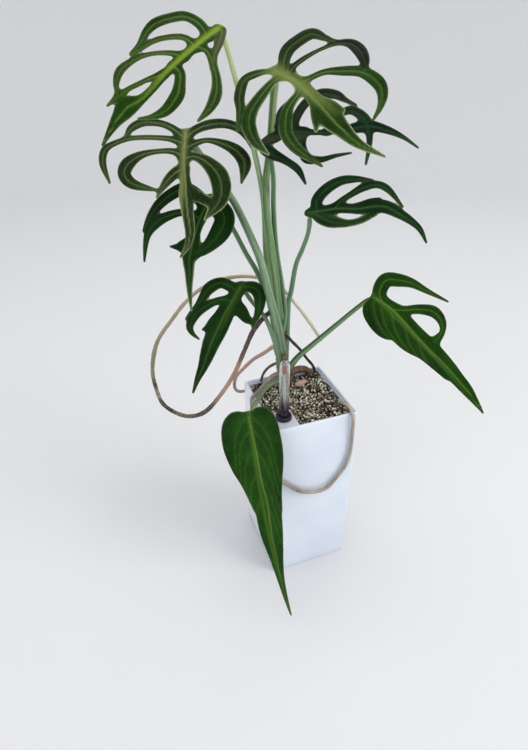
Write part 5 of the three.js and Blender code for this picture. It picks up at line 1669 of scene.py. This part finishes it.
    def turned(self, name: str, profile: list[Pair], finish: PlasticFinish, slot: str) -> None:
        """Makes a round piece of the gauge.

        Args:
            name: What it is.
            profile: Its outline as rows of (radius, height), from the axis or else all round.
            finish: Its plastic.
            slot: The record's material slot.
        """
        ends = Ends.CAPPED if profile[0][0] == profile[-1][0] == self.axis else Ends.JOINED
        rings = [circle(self.gauge, radius, z, self.gauge_sides) for radius, z in profile]
        skins = (finish.build(name),)
        piece = mesh_piece(f"gauge_{name}_turned", *loft(rings, ends), skins, self.gauge_sharp)
        finish_piece(piece, slot, f"gauge_{name}")

    def water_gauge(self) -> None:
        """Makes the black collar, the clear tube, the thin rod and the flag on top of it."""
        seat, hole, axis = self.liner_top + self.gap, self.tube_radius + self.gap, self.axis
        wide, top = self.collar[0], seat + self.collar[1]
        collar = [(hole, seat), (wide - 0.3, seat), (wide, seat + 0.3), (wide, top - 0.8)]
        collar += [(wide - 0.25, top - 0.2), (wide - 0.8, top), (hole + 0.5, top)]
        self.turned("collar", [*collar, (hole, top - 0.4)], self.black, "collar_black")
        foot, top, bend = self.floor + self.gap, self.tube_top, self.tube_round
        outer, inner = self.tube_radius, self.tube_radius - self.tube_wall
        under = top - self.tube_wall
        levels = (foot, 60.0, 120.0, 180.0)
        tube = [(outer, z) for z in (*levels, top - bend)]
        for turn in (0.4, 0.8, 1.2, math.pi / 2):
            tube.append((outer - bend + bend * math.cos(turn), top - bend + bend * math.sin(turn)))
        tube += [(axis, top), (axis, under), (inner - 1.2, under)]
        tube += [(inner - 0.3, under - 0.4), (inner, under - 1.2)]
        tube += [(inner, z) for z in reversed(levels)]
        self.turned("tube", tube, self.clear, "clear_tube")
        wide, top = self.rod_radius, self.rod_top
        rod = [(wide, z) for z in (3.8, 100.0, 200.0, top - 0.3)]
        self.turned("rod", [(axis, 3.6), *rod, (axis, top)], self.milky, "rod_milky")
        wide, foot = self.flag[0], self.rod_top + self.gap
        top = foot + self.flag[1]
        flag = [(wide - 0.5, foot), (wide, foot + 0.5), (wide, top - 1.2)]
        flag += [(wide - 0.4, top - 0.4), (wide - 1.2, top)]
        self.turned("flag", [(axis, foot), *flag, (axis, top)], self.red, "flag_red")

    def build(self) -> None:
        """Makes every piece of the planter."""
        self.pot()
        self.inner_pot()
        self.water_gauge()


class GrainWeaver(Weaver):
    """Scatters rough little rocks over a surface."""

    most_points: float = 600000.0
    small_ones: float = 2.4
    least_shape: Point = (0.7, 0.7, 0.55)
    most_shape: Point = (1.25, 1.1, 0.95)
    full_turn: float = 6.28

    def __init__(self) -> None:
        """Builds the tree: points on faces, a rock on each, turned, sized and tinted at random."""
        inputs = dict.fromkeys(("Apart", "Small", "Large", "Heap"), "Float")
        super().__init__("loose_granules", inputs | {"Seed": "Int", "Skin": "Material"})
        given = self.given
        inputs = {"Mesh": given["Geometry"], "Distance Min": given["Apart"]}
        inputs |= {"Density Max": self.most_points, "Seed": given["Seed"]}
        kind = "GeometryNodeDistributePointsOnFaces"
        spots = self.node(kind, inputs, distribute_method="POISSON")
        rise = self.node("ShaderNodeCombineXYZ", {"Z": self.random(0.0, 1.0, 1)}).outputs[0]
        inputs = {"Geometry": spots.outputs[0], "Offset": self.scaled(rise, given["Heap"])}
        raised = self.node("GeometryNodeSetPosition", inputs)
        turn = self.random((0, 0, 0), (self.full_turn,) * 3, 2)
        shape = self.random(self.least_shape, self.most_shape, 3)
        often_small = self.sum("POWER", self.random(0.0, 1.0, 4), self.small_ones)
        size = self.span(often_small, 0.0, 1.0, given["Small"], given["Large"])
        inputs = {"Points": raised.outputs[0], "Instance": self.rock()}
        inputs |= {"Rotation": turn, "Scale": self.scaled(shape, size)}
        placed = self.node("GeometryNodeInstanceOnPoints", inputs)
        inputs = {"Geometry": placed.outputs[0], "Name": "tint", "Value": self.random(0.0, 1.0, 5)}
        settings = {"data_type": "FLOAT", "domain": "INSTANCE"}
        self.finish(self.node("GeometryNodeStoreNamedAttribute", inputs, **settings).outputs[0])

    def random(self, low: float | Point, high: float | Point, more: int) -> Socket:
        """Returns a random number or vector between two others, more telling its seed apart."""
        kind, first, output = ("FLOAT_VECTOR", 0, 0) if isinstance(low, tuple) else ("FLOAT", 2, 1)
        seed = self.sum("ADD", self.given["Seed"], more)
        inputs = {first: low, first + 1: high, "Seed": seed}
        return self.node("FunctionNodeRandomValue", inputs, data_type=kind).outputs[output]

    def rock(self) -> Socket:
        """Returns one broken-looking rock of 24 faces, one unit across."""
        cube = self.node("GeometryNodeMeshCube", {f"Vertices {axis}": 3 for axis in "XYZ"})
        at = self.node("GeometryNodeInputPosition").outputs[0]
        unit = self.node("ShaderNodeVectorMath", {0: at}, operation="NORMALIZE").outputs[0]
        lumps = self.node("ShaderNodeTexNoise", {"Scale": 1.7, "Detail": 1.0, "Vector": unit})
        moved = self.scaled(unit, self.span(lumps.outputs[0], 0.3, 0.7, 0.36, 0.62))
        inputs = {"Geometry": cube.outputs[0], "Position": moved}
        return self.node("GeometryNodeSetPosition", inputs).outputs[0]


@dataclass
class Substrate:
    """The bed of granules round the platform, and the chip of bark on it.

    room is half the width that the granules may fill, and corner the platform's corner. apart is
    the least distance between two granules, small and large are their sizes, and heap is how far
    they rise.
    """

    level: float = 195.2
    room: float = 39.6
    corner: Pair = (-14.2, -11.7)
    apart: float = 1.3
    small: float = 1.2
    large: float = 3.2
    heap: float = 1.6
    seed: int = 7
    finish: GranuleFinish = GranuleFinish()
    chip_place: Point = (13.0, 24.0, 197.4)
    chip_size: Point = (14.0, 6.0, 4.0)
    chip_turn: float = 0.2
    chip_sides: int = 26
    chip_rings: int = 12
    chip_sharp: float = 40.0
    bark: RootFinish = RootFinish(((0.0, 0xB98E78), (1.0, 0xD9B6A0)), 0xE6CDBB)

    def build(self) -> None:
        """Dresses the bed, scatters the granules and shapes the chip."""
        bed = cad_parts["substrate"]
        bed.data.materials.clear()
        bed.data.materials.append(self.finish.bed())
        self.granules()
        self.chip()

    def granules(self) -> None:
        """Scatters rocks over the bed, clear of the walls and the platform."""
        r, (x, y) = self.room, self.corner
        outline = [(x, -r), (r, -r), (r, r), (-r, r), (-r, y), (x, y)]
        points = [(a * MM, b * MM, self.level * MM) for a, b in outline]
        mesh = bpy.data.meshes.new("bed_top")
        mesh.from_pydata(points, [], [(k, k + 1, 5) for k in range(4)])
        sizes = {"Apart": self.apart, "Small": self.small, "Large": self.large, "Heap": self.heap}
        values = {key: size * MM for key, size in sizes.items()}
        values |= {"Seed": self.seed, "Skin": self.finish.loose()}
        piece = GrainWeaver().run("loose_granules", add_object("bed_top", mesh), values)
        finish_piece(piece, "substrate")

    def chip(self) -> None:
        """Makes the chip: a flat block broken along its grain."""
        blunting, fullness = 0.6, 0.496
        rings = []
        for k in range(self.chip_rings + 1):
            tilt = math.pi * k / self.chip_rings - math.pi / 2
            turn = np.arange(self.chip_sides) / self.chip_sides * 2 * math.pi
            x, y = math.cos(tilt) * np.cos(turn), math.cos(tilt) * np.sin(turn)
            way = np.stack([x, y, np.full(self.chip_sides, math.sin(tilt))], 1)
            grain = 0.07 * np.sin(9 * y + 14 * way[:, 2]) + 0.05 * np.sin(7 * x + 3 * way[:, 2] + 1)
            reach = (1 + grain) / np.abs(way).max(1) ** blunting * fullness
            rings.append(way * reach[:, None] * self.chip_size)
        points, faces = loft(rings, Ends.CAPPED)
        c, s = math.cos(self.chip_turn), math.sin(self.chip_turn)
        points = points @ np.array([[c, s, 0], [-s, c, 0], [0, 0, 1]]) + self.chip_place
        middle = {"share": np.full(len(points), 0.5)}
        skins = (self.bark.build("chip"),)
        piece = mesh_piece("chip_of_bark", points, faces, skins, self.chip_sharp, middle)
        finish_piece(piece, "chip_pink", "bark_chip")


@dataclass
class Studio:
    """The floor that curves up all round, the soft lamps and the camera."""

    camera_at: Point = (-189.4, -412.0, 532.1)
    back: Point = (-0.307, -0.837, 0.453)
    sensor: float = 36.0
    lens: float = 25.63
    shift: float = -0.0896
    clip: Pair = (0.01, 50.0)
    floor_reach: float = 1700.0
    bend: float = 1100.0
    bend_steps: int = 16
    top: float = 4200.0
    sides: int = 96
    sharp: float = 60.0
    sky: Colour = (0.93, 0.96, 1.0)
    sky_strength: float = 0.6
    aim: Point = (0.0, 0.0, 0.3)

    def floor(self) -> None:
        """Makes the pale bowl that the planter stands in."""
        profile = [(1.0, 0.0), (400.0, 0.0), (1000.0, 0.0), (self.floor_reach, 0.0)]
        for k in range(1, self.bend_steps + 1):
            a = math.radians(90 * k / self.bend_steps)
            out, up = self.bend * math.sin(a), self.bend * (1 - math.cos(a))
            profile.append((self.floor_reach + out, up))
        profile.append((self.floor_reach + self.bend, self.top))
        rings = [circle((0.0, 0.0), radius, z, self.sides) for radius, z in reversed(profile)]
        skins = (StageFinish().build(),)
        mesh_piece("studio_floor", *loft(rings, Ends.OPEN), skins, self.sharp)

    def lamp(self, name: str, at: Point, size: float, power: float, tint: Colour) -> None:
        """Hangs a soft square lamp that faces the plant.

        Args:
            name: The lamp's name.
            at: Its place in metres.
            size: Its width in metres.
            power: Its power in watts.
            tint: The colour of its light.
        """
        data = bpy.data.lights.new(name, "AREA")
        data.shape = "RECTANGLE"
        data.size = data.size_y = size
        data.energy = power
        data.color = tint
        lamp = add_object(name, data)
        lamp.location = at
        lamp.rotation_euler = (Vector(self.aim) - Vector(at)).to_track_quat("-Z", "Y").to_euler()

    def light(self) -> None:
        """Sets the pale surroundings and three soft lamps."""
        scene = bpy.context.scene
        scene.world = bpy.data.worlds.new("surroundings")
        scene.world.use_nodes = True
        background = scene.world.node_tree.nodes["Background"]
        background.inputs["Color"].default_value = (*self.sky, 1.0)
        background.inputs["Strength"].default_value = self.sky_strength
        self.lamp("key", (1.5, -1.3, 1.7), 1.3, 24.0, (1.0, 0.98, 0.95))
        self.lamp("fill", (-1.7, -1.1, 1.2), 1.5, 8.0, (0.95, 0.98, 1.0))
        self.lamp("above", (0.0, 0.4, 2.3), 1.6, 14.0, (1.0, 1.0, 1.0))
        scene.view_settings.view_transform = "Standard"
        scene.view_settings.look = "None"

    def camera(self) -> None:
        """Puts the camera where the planter is seen from its front left and above."""
        data = bpy.data.cameras.new("camera")
        data.sensor_width = self.sensor
        data.lens = self.lens
        data.shift_y = self.shift
        data.clip_start, data.clip_end = self.clip
        camera = add_object("camera", data)
        camera.location = Vector(self.camera_at) * MM
        camera.rotation_euler = (-Vector(self.back)).to_track_quat("-Z", "Y").to_euler()
        bpy.context.scene.camera = camera

    def build(self) -> None:
        """Makes the floor, the lamps and the camera."""
        self.floor()
        self.light()
        self.camera()


STALK_FINISHES: dict[str, StalkFinish] = {
    "top_left": StalkFinish(0x88AA70, 0xD6E896, 0x5C8452),
    "top_right": StalkFinish(0x7A9C68, 0x9CB260, 0x466A40),
    "behind_right": StalkFinish(0x72966A, 0x849A62, 0x486E4C),
    "middle_left": StalkFinish(0x86A480, 0x90AC74, 0x4E7052),
    "hanging_left": StalkFinish(0x809C78, 0x849C60, 0x4A6C4E),
    "middle_right": StalkFinish(0x8AA688, 0x96B086, 0x628466, 0.5),
    "small_left": StalkFinish(0x769672, 0x7C965E, 0x4E7050),
    "low_right": StalkFinish(0x60844C, 0x749646, 0x32542C),
    "heart_front": StalkFinish(0x869272, 0x92A664, 0x627256),
}

ROOT_FINISHES: dict[str, RootFinish] = {
    "root_long_loop": RootFinish((
        (0.0, 0x2E221D), (0.07, 0x3A2D26), (0.12, 0x5C483C), (0.15, 0xB4937C), (0.2, 0xBE9C86),
        (0.235, 0xA98C78), (0.25, 0x3E322B), (0.3, 0x4F4238), (0.34, 0x6A5B4A), (0.36, 0x2A211C),
        (0.4, 0x3A3029), (0.415, 0xA89C84), (0.425, 0x2E2520), (0.445, 0x857C64), (0.52, 0x8F8B6C),
        (0.56, 0xA49A78), (0.6, 0xBFA78A), (0.7, 0xC9B090), (0.85, 0xCFC6A4), (1.0, 0xEDE8D4),
    )),
    "root_behind_rim": RootFinish(((0.0, 0xCFAD96), (0.5, 0xC49E88), (1.0, 0xA08274))),
    "root_left_corner": RootFinish(((0.0, 0x6E5648), (1.0, 0x54423A)), 0x9C8474),
    "root_garland": RootFinish((
        (0.0, 0x7E7264), (0.1, 0x9E9488), (0.22, 0xACA396), (0.3, 0xC2BBB0), (0.36, 0x968C80),
        (0.44, 0xABA197), (0.5, 0x8A8076), (0.56, 0xB4ABA1), (0.64, 0x9C9288), (0.72, 0xB9B0A6),
        (0.8, 0xA3998F), (0.9, 0xC2B4A6), (1.0, 0xCBBAA8),
    )),
    "root_back_corner": RootFinish(((0.0, 0x3C302B), (1.0, 0x2A221F)), 0x75645A),
}


def main() -> None:
    """Builds the planter, the plant and the studio, and reports each piece."""
    logging.basicConfig(level=logging.INFO, format="%(name)s %(message)s")
    Studio().build()
    weaver = TubeWeaver()
    Planter().build()
    Substrate().build()
    Crown().build(weaver)
    for root in ROOTS:
        AerialRoot(root, ROOT_FINISHES[root.name]).build(weaver)
    for stalk in STALKS:
        Stalk(stalk, STALK_FINISHES[stalk.name]).build(weaver)
    for form in LEAVES:
        finish = BladeFinish(form.name, BLADE_COLOURS[form.name])
        Blade(form, finish, VENATION[form.name]).build(weaver)


if __name__ == "__main__":
    main()
